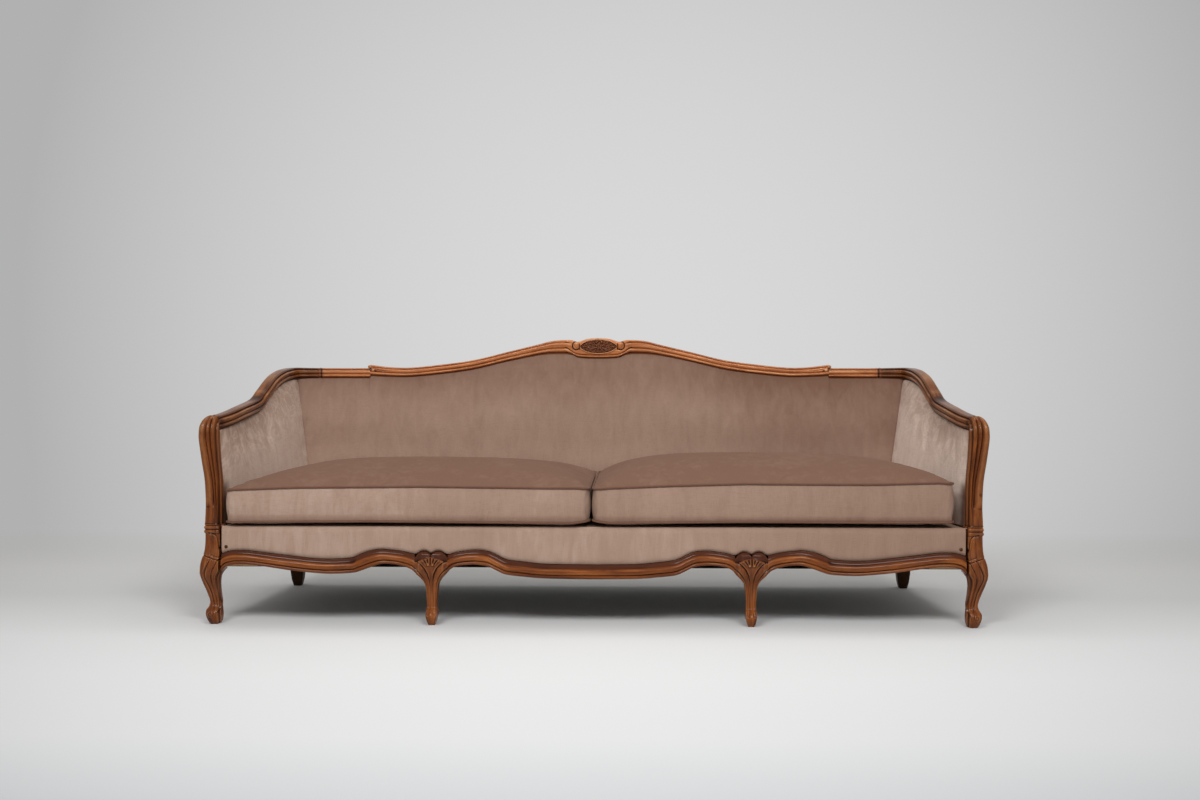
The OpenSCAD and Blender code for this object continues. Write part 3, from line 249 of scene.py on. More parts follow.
def made(name, points, faces, finish, slot, body="frame", stands_for=(), uv=None, smooth=True):
    """A piece from points in millimetres and faces, in its finish, on its body, in place of the solids named."""
    mesh = bpy.data.meshes.new(name)
    mesh.from_pydata((np.asarray(points, float) * MM).tolist(), [], [list(map(int, f)) for f in faces])
    mesh.materials.append(finish)
    if uv is not None:
        layer = mesh.uv_layers.new(name="grain")
        layer.data.foreach_set("uv", np.asarray(uv, np.float32).ravel())
    if smooth:
        mesh.polygons.foreach_set("use_smooth", [True] * len(mesh.polygons))
        mesh.set_sharp_from_angle(angle=CREASE)
    mesh.update()
    return finished(shown_in_scene(name, mesh), body, stands_for)


def shown_in_scene(name, data):
    thing = bpy.data.objects.new(name, data)
    scene.collection.objects.link(thing)
    return thing


def finished(piece, body="frame", stands_for=()):
    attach(piece, body)
    if stands_for:
        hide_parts(*stands_for)
    return piece


def carried(piece, name, values):
    """Gives each point of a piece a value that its finish reads."""
    values = np.broadcast_to(np.asarray(values, np.float32).ravel(), (len(piece.data.vertices),))
    attribute = piece.data.attributes.new(name, "FLOAT", "POINT")
    attribute.data.foreach_set("value", np.ascontiguousarray(values))


def places(mesh):
    """Where each point of a mesh is, in metres."""
    flat = np.empty(len(mesh.vertices) * 3)
    mesh.vertices.foreach_get("co", flat)
    return flat.reshape(-1, 3)


def keep_finish(finish, *names):
    """The CAD pieces stay as they are and take this finish."""
    for name in names:
        materials = nodes[name].data.materials
        if not len(materials):
            materials.append(finish)
        for k in range(len(materials)):
            materials[k] = finish


def eased(rows, steps):
    """Rows of numbers joined by the smooth curve that the solids use."""
    rows = np.asarray(rows, float)
    last = len(rows) - 1
    out = []
    for i in range(last):
        p, q, r, s = rows[max(i - 1, 0)], rows[i], rows[i + 1], rows[min(i + 2, last)]
        for t in np.arange(steps) / steps:
            out.append(0.5 * (2 * q + (r - p) * t + (2 * p - 5 * q + 4 * r - s) * t * t
                              + (3 * q - p - 3 * r + s) * t ** 3))
    return np.array(out + [rows[-1]])


def kept_sharp(points, turns, steps):
    """A smooth line that stays sharp at its turns, up to the last of them and without it."""
    return np.vstack([eased(points[a:b + 1], steps)[:-1] for a, b in zip(turns, turns[1:])])


def moulding(points, quirks, steps):
    """A closed section, smooth between its quirks. It starts at one."""
    return kept_sharp([*points, points[0]], [*quirks, len(points)], steps)


def ring(x, y, z):
    """One ring of points; a single number goes for all of them."""
    return np.stack(np.broadcast_arrays(x, y, z), axis=-1)


def ring_normals(rings):
    along = np.gradient(rings, axis=0)
    around = np.roll(rings, -1, axis=1) - np.roll(rings, 1, axis=1)
    n = np.cross(around, along)
    return n / np.maximum(np.linalg.norm(n, axis=2, keepdims=True), 1e-9)


def faces_out(rings):
    """Whether the rings run so that their normals point out of the piece."""
    return (ring_normals(rings) * (rings - rings.mean(axis=1, keepdims=True))).sum() > 0


def blurred(grid, times):
    for _ in range(times):
        grid = 0.5 * grid + 0.25 * (np.roll(grid, 1, axis=1) + np.roll(grid, -1, axis=1))
        ends = np.concatenate([grid[:1], grid, grid[-1:]])
        grid = 0.5 * grid + 0.25 * (ends[:-2] + ends[2:])
    return grid


GLAZE_DEPTH = 0.9


def turned_wood(name, rings, stands_for, relief=None, stained=0.0, finish=carved_walnut, slot="carved_walnut",
                blur=7, way=None):
    """A carved piece from rings along its length. Relief lifts the surface; what lies low takes the dark glaze."""
    rings = np.asarray(rings, float)
    stain = np.broadcast_to(stained(rings) if callable(stained) else stained, rings.shape[:2])
    if not faces_out(rings):
        rings, stain = rings[:, ::-1], stain[:, ::-1]
    n = ring_normals(rings)
    if relief is not None:
        rings = rings + (n if way is None else np.array(way)) * relief(rings)[..., None]
        n = ring_normals(rings)
    low = ((rings - blurred(rings, blur)) * n).sum(axis=2)
    k, m = rings.shape[:2]
    points = np.vstack([rings.reshape(-1, 3), rings[0].mean(axis=0), rings[-1].mean(axis=0)])
    i, j = np.meshgrid(np.arange(k - 1), np.arange(m), indexing="ij")
    a, b = i * m + j, i * m + (j + 1) % m
    quads = np.stack([a, b, b + m, a + m], axis=-1).reshape(-1, 4)
    last = (k - 1) * m
    caps = [[k * m, (t + 1) % m, t] for t in range(m)] + [[k * m + 1, last + t, last + (t + 1) % m] for t in range(m)]
    # The grain runs with the length and the girth
    run = np.concatenate([[0], np.cumsum(np.linalg.norm(np.diff(rings.mean(axis=1), axis=0), axis=1))])
    girth = np.linalg.norm(np.roll(rings, -1, axis=1) - rings, axis=2).mean(axis=0)
    around = np.concatenate([[0], np.cumsum(girth)])
    uv = np.stack([np.stack([run[i + p], around[j + q]], -1) for p, q in ((0, 0), (0, 1), (1, 1), (1, 0))], axis=2)
    cap_uv = [[end, around[t]] for end in (0.0, run[-1]) for t in range(m) for _ in range(3)]
    piece = made(name, points, quads.tolist() + caps, finish, slot, "frame", stands_for,
                 np.vstack([uv.reshape(-1, 2), cap_uv]) * MM)
    carried(piece, "relief", np.concatenate([np.clip(0.5 + 0.5 * low.ravel() / GLAZE_DEPTH, 0, 1), [0.5, 0.5]]))
    carried(piece, "stain", np.concatenate([stain.ravel(), [0.0, 0.0]]))


def both_sides(name, kind, rings, **more):
    """The same carved piece on the right and, mirrored, on the left, in place of that side's solid."""
    for side, flip in SIDES:
        turned_wood(f"{name}_{side}_{kind}", np.asarray(rings) * [flip, 1, 1], [f"{name}_{side}"], **more)


def stroke(x, z, line, width, rise):
    """A carved stroke along a line on the face: a ridge where the rise is positive, a groove where it isn't."""
    line = eased(line, 5) if len(line) > 2 else np.asarray(line, float)
    best = np.full(np.shape(x), 1e9)
    for a, b in zip(line, line[1:]):
        d = b - a
        t = np.clip(((x - a[0]) * d[0] + (z - a[1]) * d[1]) / max(d @ d, 1e-9), 0, 1)
        best = np.minimum(best, np.hypot(x - a[0] - t * d[0], z - a[1] - t * d[1]))
    return rise * np.exp(-(best / width) ** 2)


def strokes(x, z, *rows):
    """Several strokes at once; a row has a line, its width and its rise."""
    return sum(stroke(x, z, *row) for row in rows)


def bead(x, z, centre, size, rise, turn=0.0, firm=2):
    """An oval lump, or a hollow where the rise is negative."""
    c, s = math.cos(turn), math.sin(turn)
    u = ((x - centre[0]) * c + (z - centre[1]) * s) / size[0]
    v = (-(x - centre[0]) * s + (z - centre[1]) * c) / size[1]
    return rise * np.exp(-(u * u + v * v) ** firm)


# ---------------------------------------------------------------- the frame's lines, as in the solids

CLEAR_W, MID_SPAN, REAR_W, CLEAR_D = 2160.0, 930.0, 2016.0, 648.0
DECK_H, ARM_H, SIDE_H, CREST_H = 289.0, 611.0, 746.0, 848.0
RAIL_LOW, ARCH, FACE_H, FACE_OUT = 137.0, 42.0, 42.0, 18.0
BOARD_T, BOARD_TOP = 32.0, 262.0
BLOCK, MID_W, MID_D = 50.0, 96.0, 48.0
ARM_W, ARM_T, TOP_D, TOP_H = 44.0, 42.0, 40.0, 35.0
STILE_IN = CLEAR_W / 2
FRONT_BACK_Y, REAR_FRONT_Y = -CLEAR_D / 2 - 0.2, CLEAR_D / 2 - 0.2
REAR_IN, MID_X = REAR_W / 2, MID_SPAN / 2
BOARD_FRONT_Y = FRONT_BACK_Y - 0.8 * BLOCK
BOARD_BACK_Y = BOARD_FRONT_Y + BOARD_T
MID_BACK_Y = BOARD_FRONT_Y + MID_D
TOP_Y = REAR_FRONT_Y + 0.84 * BLOCK
SEAM_X, CAMEL_X = 960.0, 780.0
BAND_Z, BAND_H = BOARD_TOP + 4, 30.0
POST_Z = BAND_Z + BAND_H
ROLL_Z = ARM_H - BLOCK * 0.98
CORNER_UNDER = SIDE_H - (TOP_H + ARM_T) / 2
HEAD_Z = CORNER_UNDER + 8
ARM_START = np.array([STILE_IN + 0.73 * BLOCK, FRONT_BACK_Y, ARM_H - 0.6 * ARM_T])
ARM_END = np.array([SEAM_X, TOP_Y, SIDE_H - TOP_H / 2])
SIDE_OUT = 0.9 * FACE_OUT
SIDE_FRONT_X = STILE_IN + 0.6 * BLOCK
SIDE_REAR_X = REAR_IN + 1.1 * BLOCK - SIDE_OUT / 3

CENTRE_EDGE = [[0, 0, 1], [0.31, 0.04, 1], [0.47, 0.16, 1.03], [0.565, 0.26, 1.04], [0.615, 0.38, 1.07],
               [0.665, 0.62, 1.09], [0.72, 0.87, 1.05], [0.8, 0.98, 1.02], [0.885, 0.95, 0.97],
               [0.945, 0.84, 0.97], [0.98, 0.66, 1.05], [1, 0.45, 1.2]]
OUTER_EDGE = [[0, 0.45, 1.25], [0.02, 0.66, 1.1], [0.06, 0.86, 1.02], [0.12, 1, 0.98], [0.175, 0.99, 1.05],
              [0.235, 0.74, 1.17], [0.285, 0.5, 1.16], [0.33, 0.37, 1.05], [0.44, 0.31, 1.02], [0.53, 0.38, 1],
              [0.65, 0.55, 1.01], [0.78, 0.81, 0.96], [0.86, 0.93, 0.97], [0.93, 0.93, 0.98], [0.967, 0.83, 1],
              [0.985, 0.7, 1.06], [1, 0.46, 1.22]]
SIDE_EDGE = [[0, 0.46, 1.22], [0.02, 0.76, 1.05], [0.09, 0.93, 1], [0.2, 0.88, 1], [0.34, 0.5, 1],
             [0.5, 0.34, 1], [0.66, 0.5, 1], [0.8, 0.9, 1], [0.93, 0.96, 1], [1, 0.9, 1]]
# Carved face, bottom to top: out from the board and up. A bead, a sharp arris, a broad band and a cove darkened by
# staining and by painted shade.
FACE = [[0.5, 0], [0.84, 0.03], [0.98, 0.12], [0.9, 0.21], [0.62, 0.265], [0.72, 0.285], [0.95, 0.32], [1, 0.44],
        [0.93, 0.58], [0.74, 0.67], [0.56, 0.72], [0.44, 0.8], [0.38, 0.9], [0.36, 0.97], [0, 1]]
FACE_QUIRKS = (4, 10)
COVE = 0.7
RAIL = [[-0.4, -0.5], [0.28, -0.5], [0.33, -0.35], [0.45, -0.3], [0.5, -0.18], [0.39, -0.065], [0.49, 0.05],
        [0.485, 0.24], [0.34, 0.32], [0.4, 0.42], [0.28, 0.5], [-0.26, 0.5], [-0.44, 0.4], [-0.5, 0.1],
        [-0.48, -0.34]]
RAIL_QUIRKS = (0, 1, 2, 5, 8)


def rail_stain_and_shade(section, bead=0.7):
    """The top bead of a rail is darker than its face by staining; its lowest fillet takes painted shade, where shadow
    falls under it.
    """
    v, out = section[:, 1], soft_step(section[:, 0], 0.2, 0.3)
    return out * (bead * soft_step(v, 0.28, 0.34) + 0.9 * (1 - soft_step(v, -0.36, -0.3)))


RAIL_SECTION = moulding(RAIL, RAIL_QUIRKS, 6)


def edge_rows(shares, start, end, steps):
    rows = eased(shares, steps)
    return np.stack([between(start, end, rows[:, 0]), RAIL_LOW + rows[:, 1] * ARCH, rows[:, 2] * FACE_H], axis=1)


FACE_LINE = np.vstack([kept_sharp(FACE, [0, *FACE_QUIRKS, len(FACE) - 1], 6), FACE[-1]])
CENTRE_ROWS = edge_rows(CENTRE_EDGE, 0, MID_X - MID_W / 2, 9)
OUTER_ROWS = edge_rows(OUTER_EDGE, MID_X + MID_W / 2, STILE_IN, 7)
SIDE_ROWS = edge_rows(SIDE_EDGE, 0, 1, 9)


def rail_rings(rows, reach, at):
    """Rings of a seat rail, its carved face and then its board. at() puts depths and heights at a place along it."""
    board = BOARD_T * np.array([0, 0.5, 1, 1, 1, 1, 0.3])
    depth = np.concatenate([-FACE_LINE[:, 0] * reach, board])
    rings = []
    for place, low, tall in rows:
        back = [BOARD_TOP] * 3 + [between(low, BOARD_TOP, share) for share in (0.66, 0.33)] + [low] * 2
        rings.append(at(place, depth, np.concatenate([low + FACE_LINE[:, 1] * tall, back])))
    return np.array(rings)


def seat_rails():
    t = FACE_LINE[:, 1]
    # The cove is darkened by staining and by painted shade under the border; the lower bead a little by staining
    stain = soft_step(t, COVE - 0.05, COVE + 0.02) * 0.9 + 0.35 * (1 - soft_step(t, 0.2, 0.27))
    stain = np.concatenate([stain, np.zeros(7)])

    def in_front(x, depth, height):
        return ring(x, BOARD_FRONT_Y + depth, height)

    def beside(share, depth, height):
        return ring(between(SIDE_FRONT_X, SIDE_REAR_X, share) - depth,
                    between(FRONT_BACK_Y, REAR_FRONT_Y, share), height)

    centre = np.vstack([CENTRE_ROWS[:0:-1] * [-1, 1, 1], CENTRE_ROWS])
    turned_wood("front_rail_centre_carved", rail_rings(centre, FACE_OUT, in_front), ["front_rail_centre"],
                stained=stain)
    both_sides("front_rail", "carved", rail_rings(OUTER_ROWS, FACE_OUT, in_front), stained=stain)
    both_sides("side_rail", "carved", rail_rings(SIDE_ROWS, SIDE_OUT, beside), stained=stain)


# Front stile sections: inner to outer, back to front, with two quirks between three flutes
POST = [[0, 0], [1, 0], [1, 0.35], [1, 0.7], [0.95, 0.9], [0.82, 0.965], [0.68, 0.84], [0.62, 0.96], [0.52, 1],
        [0.41, 0.96], [0.345, 0.84], [0.28, 0.95], [0.2, 0.95], [0.13, 0.86], [0.12, 0.56], [0, 0.52], [0, 0.3]]
POST_QUIRKS = (0, 1, 6, 10, 14, 15)
LEG_ROWS = [[0, 0.22, 0.72, 0.28, 0.92], [0.045, 0.14, 0.83, 0.2, 1.12], [0.105, 0.12, 0.92, 0.18, 1.22],
            [0.155, 0.13, 0.92, 0.22, 1.14], [0.2, 0.14, 0.8, 0.26, 0.9], [0.26, 0.14, 0.77, 0.24, 0.84],
            [0.36, 0.24, 0.95, 0.14, 0.9], [0.45, 0.28, 1.12, 0.08, 1.06], [0.52, 0.24, 1.22, 0.04, 1.22],
            [0.56, 0.12, 1.26, 0.02, 1.28], [0.6, 0, 1.26, 0, 1.31], [0.69, 0, 1.2, 0, 1.3],
            [0.79, 0, 1.04, 0, 1.14], [0.88, 0, 1, 0, 1], [1, 0, 0.98, 0, 1]]
POST_ROWS = [[0.17, 0.12, 0.98, 0.02, 0.94], [0.46, 0.14, 1.04, 0.02, 0.94], [0.7, 0.24, 1.22, 0.02, 0.96],
             [0.92, 0.3, 1.36, 0.02, 1], [1, 0.3, 1.36, 0.02, 1]]
ROLL_ROWS = [[0, 0.3, 1.36], [0.25, 0.3, 1.34], [0.5, 0.31, 1.26], [0.75, 0.33, 1.14], [1, 0.36, 0.98]]


# Cuts on a front stile, from its inner edge outwards and up: a line, its width and its rise. Leaf cuts sweep from the
# rail over the knee, and a curved cut crosses the block.
LEG_CUTS = [([[-5, 187], [8, 190], [20, 193], [44, 201], [56, 204]], 1.5, -2.0),
            ([[-5, 196], [14, 200], [30, 206]], 1.3, -1.2),
            ([[28, 196], [39, 176], [48, 145], [40, 117], [32, 92], [26, 64], [22, 46]], 1.7, -2.2),
            ([[8, 190], [18, 172], [26, 154], [29, 130], [22, 92], [15, 57]], 1.9, -2.4),
            ([[-6, 181], [5, 155], [12, 124], [12, 92], [7, 60]], 1.8, -2.2),
            ([[38, 190], [44, 170], [52, 150]], 1.2, -1.0),
            ([[37, 268], [20, 264], [12.5, 253], [8, 230], [1, 208]], 1.6, -2.0),
            ([[34, 262], [19, 257], [14.5, 246], [11, 226]], 2.2, 0.8)]
# A volute ends the foot
VOLUTE = (30, 31)
FOOT_CUTS = [([[VOLUTE[0] + r * math.cos(a), VOLUTE[1] + r * math.sin(a)] for a, r in
               zip(np.linspace(2.6, 9.0, 20), np.linspace(8.5, 2.2, 20))], 1.2, -2.0),
             ([[8, 44], [15, 24], [18, 6]], 1.6, -1.4)]


def front_stiles():
    """Corner stiles: a leg with sweeping cuts, a banded block, and a post whose quirks slide inwards as they drop."""
    fluted = moulding(POST, POST_QUIRKS, 6)
    plain = fluted.copy()
    front = fluted[:, 1] > 0.78
    plain[front, 1] = 0.985 - 0.13 * np.abs(2 * fluted[front, 0] - 1) ** 3
    rings = []

    def slid(shape, drop):
        out = shape.copy()
        out[:, 0] = np.interp(shape[:, 0], [0, 0.12, 0.345, 0.68, 1],
                              [0, 0.12, between(0.34, 0.21, drop), between(0.58, 0.33, drop), 1])
        return out

    def level(inner, outer, back, face, z, share, drop=0.0):
        shape = slid(between(plain, fluted, share), drop)
        rings.append(ring(STILE_IN + BLOCK * between(max(inner, 0), outer, shape[:, 0]),
                          FRONT_BACK_Y - BLOCK * between(max(back, 0), face, shape[:, 1]), z))

    for height, *row in eased(LEG_ROWS, 26):
        level(*row, height * BAND_Z, 0.12)
    for t in np.linspace(0.03, 1, 30):
        row = between(np.array(LEG_ROWS[-1][1:]), np.array(POST_ROWS[0][1:]), soft_step(t, 0.6, 1.0))
        swell = 0.07 * abs(math.sin(math.pi * t * 2.5)) ** 0.6 * (1 - 0.5 * soft_step(t, 0.85, 1.0))
        level(*(row + [0, swell, 0, swell]), BAND_Z + t * BAND_H, 0.05, 1.0)
    for height, *row in eased(POST_ROWS, 14):
        z = between(POST_Z, ROLL_Z, height)
        level(*row, z, soft_step(z, POST_Z + 24, POST_Z + 70), np.clip((565 - z) / 240, 0, 1))
    top = slid(fluted, 0)
    for share, inner, outer in eased(ROLL_ROWS, 9)[1:]:
        turn = math.radians(90 * share)
        reach = BLOCK * between(0.02, 1, top[:, 1])
        rings.append(ring(STILE_IN + BLOCK * between(inner, outer, top[:, 0]), FRONT_BACK_Y - reach * math.cos(turn),
                          ROLL_Z + reach * math.sin(turn)))

    def relief(p):
        """The cuts, on the front face alone, and two knuckles where the post rolls over."""
        x, y, z = np.abs(p[..., 0]) - STILE_IN, p[..., 1], p[..., 2]
        faces_front = soft_step(-y, -FRONT_BACK_Y + 20, -FRONT_BACK_Y + 32)
        cut = strokes(x, z, *LEG_CUTS) + bead(x, z, VOLUTE, (10.5, 10.5), 3.4) + strokes(x, z, *FOOT_CUTS)
        knuckles = 2.6 * (np.exp(-((x - 30) / 4.5) ** 2) + np.exp(-((x - 12) / 4.5) ** 2)) * soft_step(z, 594, 606)
        return cut * faces_front + knuckles * soft_step(-y, 330, 345)

    both_sides("front_stile", "carved", rings, relief=relief, stained=0.3)


MID_ROWS = [[0, 0.19, 0.46, 1.12], [0.05, 0.28, 0.36, 1.32], [0.105, 0.34, 0.34, 1.4], [0.155, 0.345, 0.38, 1.26],
            [0.2, 0.31, 0.42, 1.04], [0.28, 0.31, 0.38, 0.98], [0.38, 0.35, 0.26, 1.02], [0.45, 0.4, 0.18, 1.12],
            [0.5, 0.54, 0.1, 1.24], [0.545, 0.76, 0.04, 1.38], [0.6, 1, 0, 1.5], [0.68, 1, 0, 1.56],
            [0.76, 1, 0, 1.5]]
# On a middle leg the beads of the two rails run down as strands. Half the breadth of the inner bead, of the outer
# bead and of the rim, each with its heights.
STRAND_Z = [46, 84, 108, 120, 132, 137, 143, 150, 153, 157, 158, 160, 164, 169, 169.3, 172, 175, 178, 184, 188, 191.2,
            193]
INNER_BEAD = ([48, 81, 108, 132, 153, 169, 178, 184, 188, 191.2, 193], [5.4, 4.6, 3.8, 6, 11, 19, 27, 34, 41, 49, 60])
OUTER_BEAD = ([48, 84, 120, 137, 150, 158, 164, 169.3, 172, 193], [11.5, 11, 14.5, 20.5, 28, 35, 41, 49, 62, 120])
RIM_BEAD = ([48, 99, 118, 131, 143, 157, 160, 175, 193], [16.5, 17, 19.5, 26, 37, 49, 62, 120, 200])
PETAL_W, PETAL_END = 36, 40


def above_shell(ax, z):
    """How far a place lies over the shell's top line, which drops towards both sides."""
    return z - (188.5 + 12.5 * (1 - (np.minimum(ax, PETAL_END) / PETAL_W) ** 2))


def petal_top(u, breadth):
    """Top of the two petals over a middle leg, at a place across it from -1 to 1."""
    return BOARD_TOP * (0.73 + 0.1 * np.sqrt(np.clip(1 - ((np.abs(u) - 0.44) / breadth) ** 2, 0, 1)))


def middle_legs():
    flat = [[0, 0], [1, 0], [1, 0.4], [1, 0.8], [0.97, 0.93], [0.85, 0.985], [0.5, 1], [0.15, 0.985],
            [0.03, 0.93], [0, 0.8], [0, 0.4]]
    section = moulding(flat, (0, 1), 7)
    # More points over the face, where the shell is carved
    front = (section[:, 1] > 0.9) | (np.abs(section[:, 0] - 0.5) < 0.46) & (section[:, 1] > 0.5)
    across = np.linspace(0.97, 0.03, 76)
    dense = np.stack([across, 0.995 - 0.07 * np.abs(2 * across - 1) ** 5], axis=1)
    first = int(np.argmax(front))
    section = np.vstack([section[:first], dense, section[first + int(front.sum()):]])
    u, rounded = 2 * section[:, 0] - 1, section[:, 1]
    # Where the rails meet it the leg is square at its corners, so that their faces join
    squared = np.where(rounded > 0.6, np.maximum(rounded, 0.975), rounded)
    rings = []
    for share, half, back, face in eased(MID_ROWS, 22):
        z = share * BOARD_TOP
        depth = between(rounded, squared, soft_step(z, 138, 156))
        rings.append(ring(MID_W / 2 * min(half, 1) * u, MID_BACK_Y - MID_D * between(max(back, 0), face, depth), z))
    for t in np.linspace(0, 1, 30)[1:]:
        z = between(0.76 * BOARD_TOP, 222.0, t)
        face = 1.5 - 0.06 * t - 0.2 * soft_step(t, 0.35, 1.0)
        inside = soft_step(petal_top(u, 0.54) - z, -1.5, 2.5)
        depth = between(1.0, face, inside * (squared > 0.8))
        rings.append(ring(MID_W / 2 * u, MID_BACK_Y - MID_D * np.where(squared > 0.8, depth * squared, squared), z))
    for z in (226.0, 244.0, BOARD_TOP):
        rings.append(ring(MID_W / 2 * u, MID_BACK_Y - MID_D * np.minimum(squared / 0.93, 1), z))

    def relief(p):
        """Strands run down the leg; between them two petals stand over a ribbed shell and a tongue."""
        x, y, z = np.abs(p[..., 0]) - MID_X, p[..., 1], p[..., 2]
        faces_front = soft_step(-y, -MID_BACK_Y + 18, -MID_BACK_Y + 34)
        ax = np.abs(x)
        a, b, c = (np.interp(z, STRAND_Z, np.interp(STRAND_Z, *line)) for line in (INNER_BEAD, OUTER_BEAD, RIM_BEAD))
        t = np.where(ax < b, between(0.7, 0.265, np.clip((ax - a) / (b - a), 0, 1)),
                     0.265 * (1 - np.clip((ax - b) / (c - b), 0, 1)))
        out = np.interp(t, FACE_LINE[:, 1], FACE_LINE[:, 0])
        out = np.where(ax < a, 0.56 + 0.44 * soft_step(a - ax, 0, 4.5), out)
        edge = above_shell(ax, z)
        high = soft_step(edge, 0, 2)
        deepness = between(3.6, 12.0, soft_step(z, 105, 168)) * soft_step(z, 30, 52)
        cut = -(1 - out) * deepness * (1 - high)
        cut = cut - high * (2.5 + 8.5 * soft_step(ax, 24, 47)) - 6.0 * soft_step(ax, 34, 48) * (1 - high) * (z > 150)
        cut = cut - 2.4 * np.exp(-(edge / 1.6) ** 2) * (ax < PETAL_END)
        ribs = [([[top, 198 - top * 0.28], [between(top, foot, 0.5), 187], [foot, 178]], 2.2, 1.8)
                for top, foot in ((4.6, 3.0), (14.5, 8.0), (24.5, 13.5))]
        ribs += [([[top, 198 - top * 0.3], [foot, 182]], 1.2, -2.0) for top, foot in ((0, 0), (9.6, 5.6), (19.6, 11))]
        cut = cut + strokes(ax, z, *ribs, ([[0, 224], [0, 203]], 1.8, -3.0),
                            ([[0, 47], [4.5, 28], [5.5, 12]], 1.4, 1.2))
        for spot, size, rise in (((6.5, 181), (2.6, 4.4), 2.6), ((9.5, 36), (4.0, 8), -3.6),
                                 ((0, 26), (4.2, 14), 1.6)):
            cut = cut + bead(ax, z, spot, size, rise)
        return cut * faces_front

    def stain(p):
        """Petals and shell are dark, but for a painted highlight on each side, a pale fleck where the varnish glints.
        """
        ax, z = np.abs(np.abs(p[..., 0]) - MID_X), p[..., 2]
        petals = 0.95 * soft_step(above_shell(ax, z), -1, 1.5) * soft_step(z, 180, 186)
        shell = 0.62 * soft_step(z, 168, 180) * (ax < 34)
        painted_glints = bead(ax, z, (6.5, 181), (3.0, 4.8), 1.0)
        return np.maximum(petals, np.maximum(shell, 0.35 * soft_step(z, 120, 150)) * (1 - painted_glints))

    both_sides("mid_leg", "carved", np.array(rings) + [MID_X, 0, 0], relief=relief, stained=stain, blur=9,
               way=(0, -1, 0))


REAR_ROWS = [[0, 0.26, 0.78, 0.42, 1.02], [0.03, 0.14, 0.88, 0.26, 1.06], [0.07, 0.06, 0.94, 0.16, 1.02],
             [0.14, 0.02, 1, 0.08, 1], [0.2, 0, 1, 0, 1], [0.37, 0, 1, 0, 1], [0.42, 0.04, 0.98, 0.02, 0.94],
             [0.6, 0.2, 0.96, 0.14, 0.88], [0.8, 0.42, 0.98, 0.24, 0.86], [1, 0.62, 1.08, 0.36, 0.86]]
REAR = [[0.1, 0], [0.9, 0], [1, 0.1], [1, 0.5], [1, 0.9], [0.9, 1], [0.1, 1], [0, 0.9], [0, 0.5], [0, 0.1]]


def rear_stiles():
    corners, rows = np.array(REAR), np.array(REAR_ROWS)
    section = np.vstack([between(a, b, t) for a, b in zip(corners, np.roll(corners, -1, axis=0))
                         for t in (0, 0.34, 0.67)])
    rows = [between(a, b, t) for a, b in zip(rows, rows[1:]) for t in np.linspace(0, 1, 7)[:-1]] + [rows[-1]]
    rings = [ring(REAR_IN + BLOCK * between(inner, outer, section[:, 0]),
                  REAR_FRONT_Y + BLOCK * between(front, back, section[:, 1]), height * HEAD_Z)
             for height, inner, outer, front, back in rows]
    both_sides("rear_stile", "shaped", rings, finish=rear_walnut)


ARM_PATH = [[0, 0, 0], [0.108, 0.116, 0.07], [0.19, 0.246, 0.17], [0.242, 0.456, 0.305], [0.28, 0.557, 0.51],
            [0.33, 0.687, 0.79], [0.376, 0.803, 0.925], [0.401, 0.89, 0.97], [0.43, 0.948, 0.99], [0.53, 0.99, 1],
            [0.74, 1, 1], [1, 1, 1]]
arm_line = ARM_START + eased(ARM_PATH, 10) * (ARM_END - ARM_START)
arm_ways = np.gradient(arm_line, axis=0)
arm_ways[0], arm_ways[-1] = (0, 1, 0), (-1, 0, 0)
arm_ways /= np.linalg.norm(arm_ways, axis=1, keepdims=True)
arm_in = np.stack([-arm_ways[:, 1], arm_ways[:, 0], np.zeros(len(arm_ways))], axis=1)
arm_in /= np.linalg.norm(arm_in, axis=1, keepdims=True)
arm_up = -np.cross(arm_in, arm_ways)
arm_at = np.linspace(0, 1, len(arm_line)) ** 3
arm_wide = between(ARM_W, TOP_D, arm_at)
arm_tall = between(ARM_T, TOP_H, arm_at)
arm_foot = arm_line - arm_up * (arm_tall / 2 + 0.3)[:, None]


def arm_rails():
    rings = (arm_line[:, None] + arm_in[:, None] * (RAIL_SECTION[:, :1] * arm_wide[:, None, None])
             + arm_up[:, None] * (RAIL_SECTION[:, 1:] * arm_tall[:, None, None]))

    def stain(p):
        """Painted shade where the rail dies into the front post."""
        return np.maximum(rail_stain_and_shade(RAIL_SECTION), 0.85 * (1 - soft_step(p[..., 1] - FRONT_BACK_Y, 4, 30)))

    both_sides("arm_rail", "moulded", rings, stained=stain, finish=arm_walnut)


# Camel rail from its middle outwards: place, share of the rise, height
CAMEL = [[0, 1, 2], [0.05, 0.97, 1.89], [0.09, 0.88, 1.54], [0.125, 0.94, 1.43], [0.2, 0.91, 1.31],
         [0.27, 0.78, 1.09], [0.4, 0.54, 0.97], [0.55, 0.265, 0.95], [0.7, 0.11, 0.95], [0.82, 0.02, 0.94],
         [0.9, 0.025, 0.95], [0.96, 0.07, 1.04], [1, 0.11, 1.1]]
PANEL_Z, PANEL_X, PANEL_HALF = CREST_H - 28.5, 63.0, 23.5
# Half the length of the crest, and how close the rail's rings stand there and elsewhere
CREST_HALF, CREST_STEP, RAIL_STEP = 96, 0.9, 4.0
# Share of a top rail's height that lies below its panel and its bead
LOW_PART = 0.435

CAMEL_ROWS = eased(CAMEL, 24)
CAMEL_ROWS = np.stack([CAMEL_ROWS[:, 0] * CAMEL_X, between(SIDE_H, CREST_H, CAMEL_ROWS[:, 1]),
                       CAMEL_ROWS[:, 2] * TOP_H], axis=1)


def camel_at(x):
    """Top and thickness of the camel rail over a place."""
    return (np.interp(np.abs(x), CAMEL_ROWS[:, 0], CAMEL_ROWS[:, k]) for k in (1, 2))


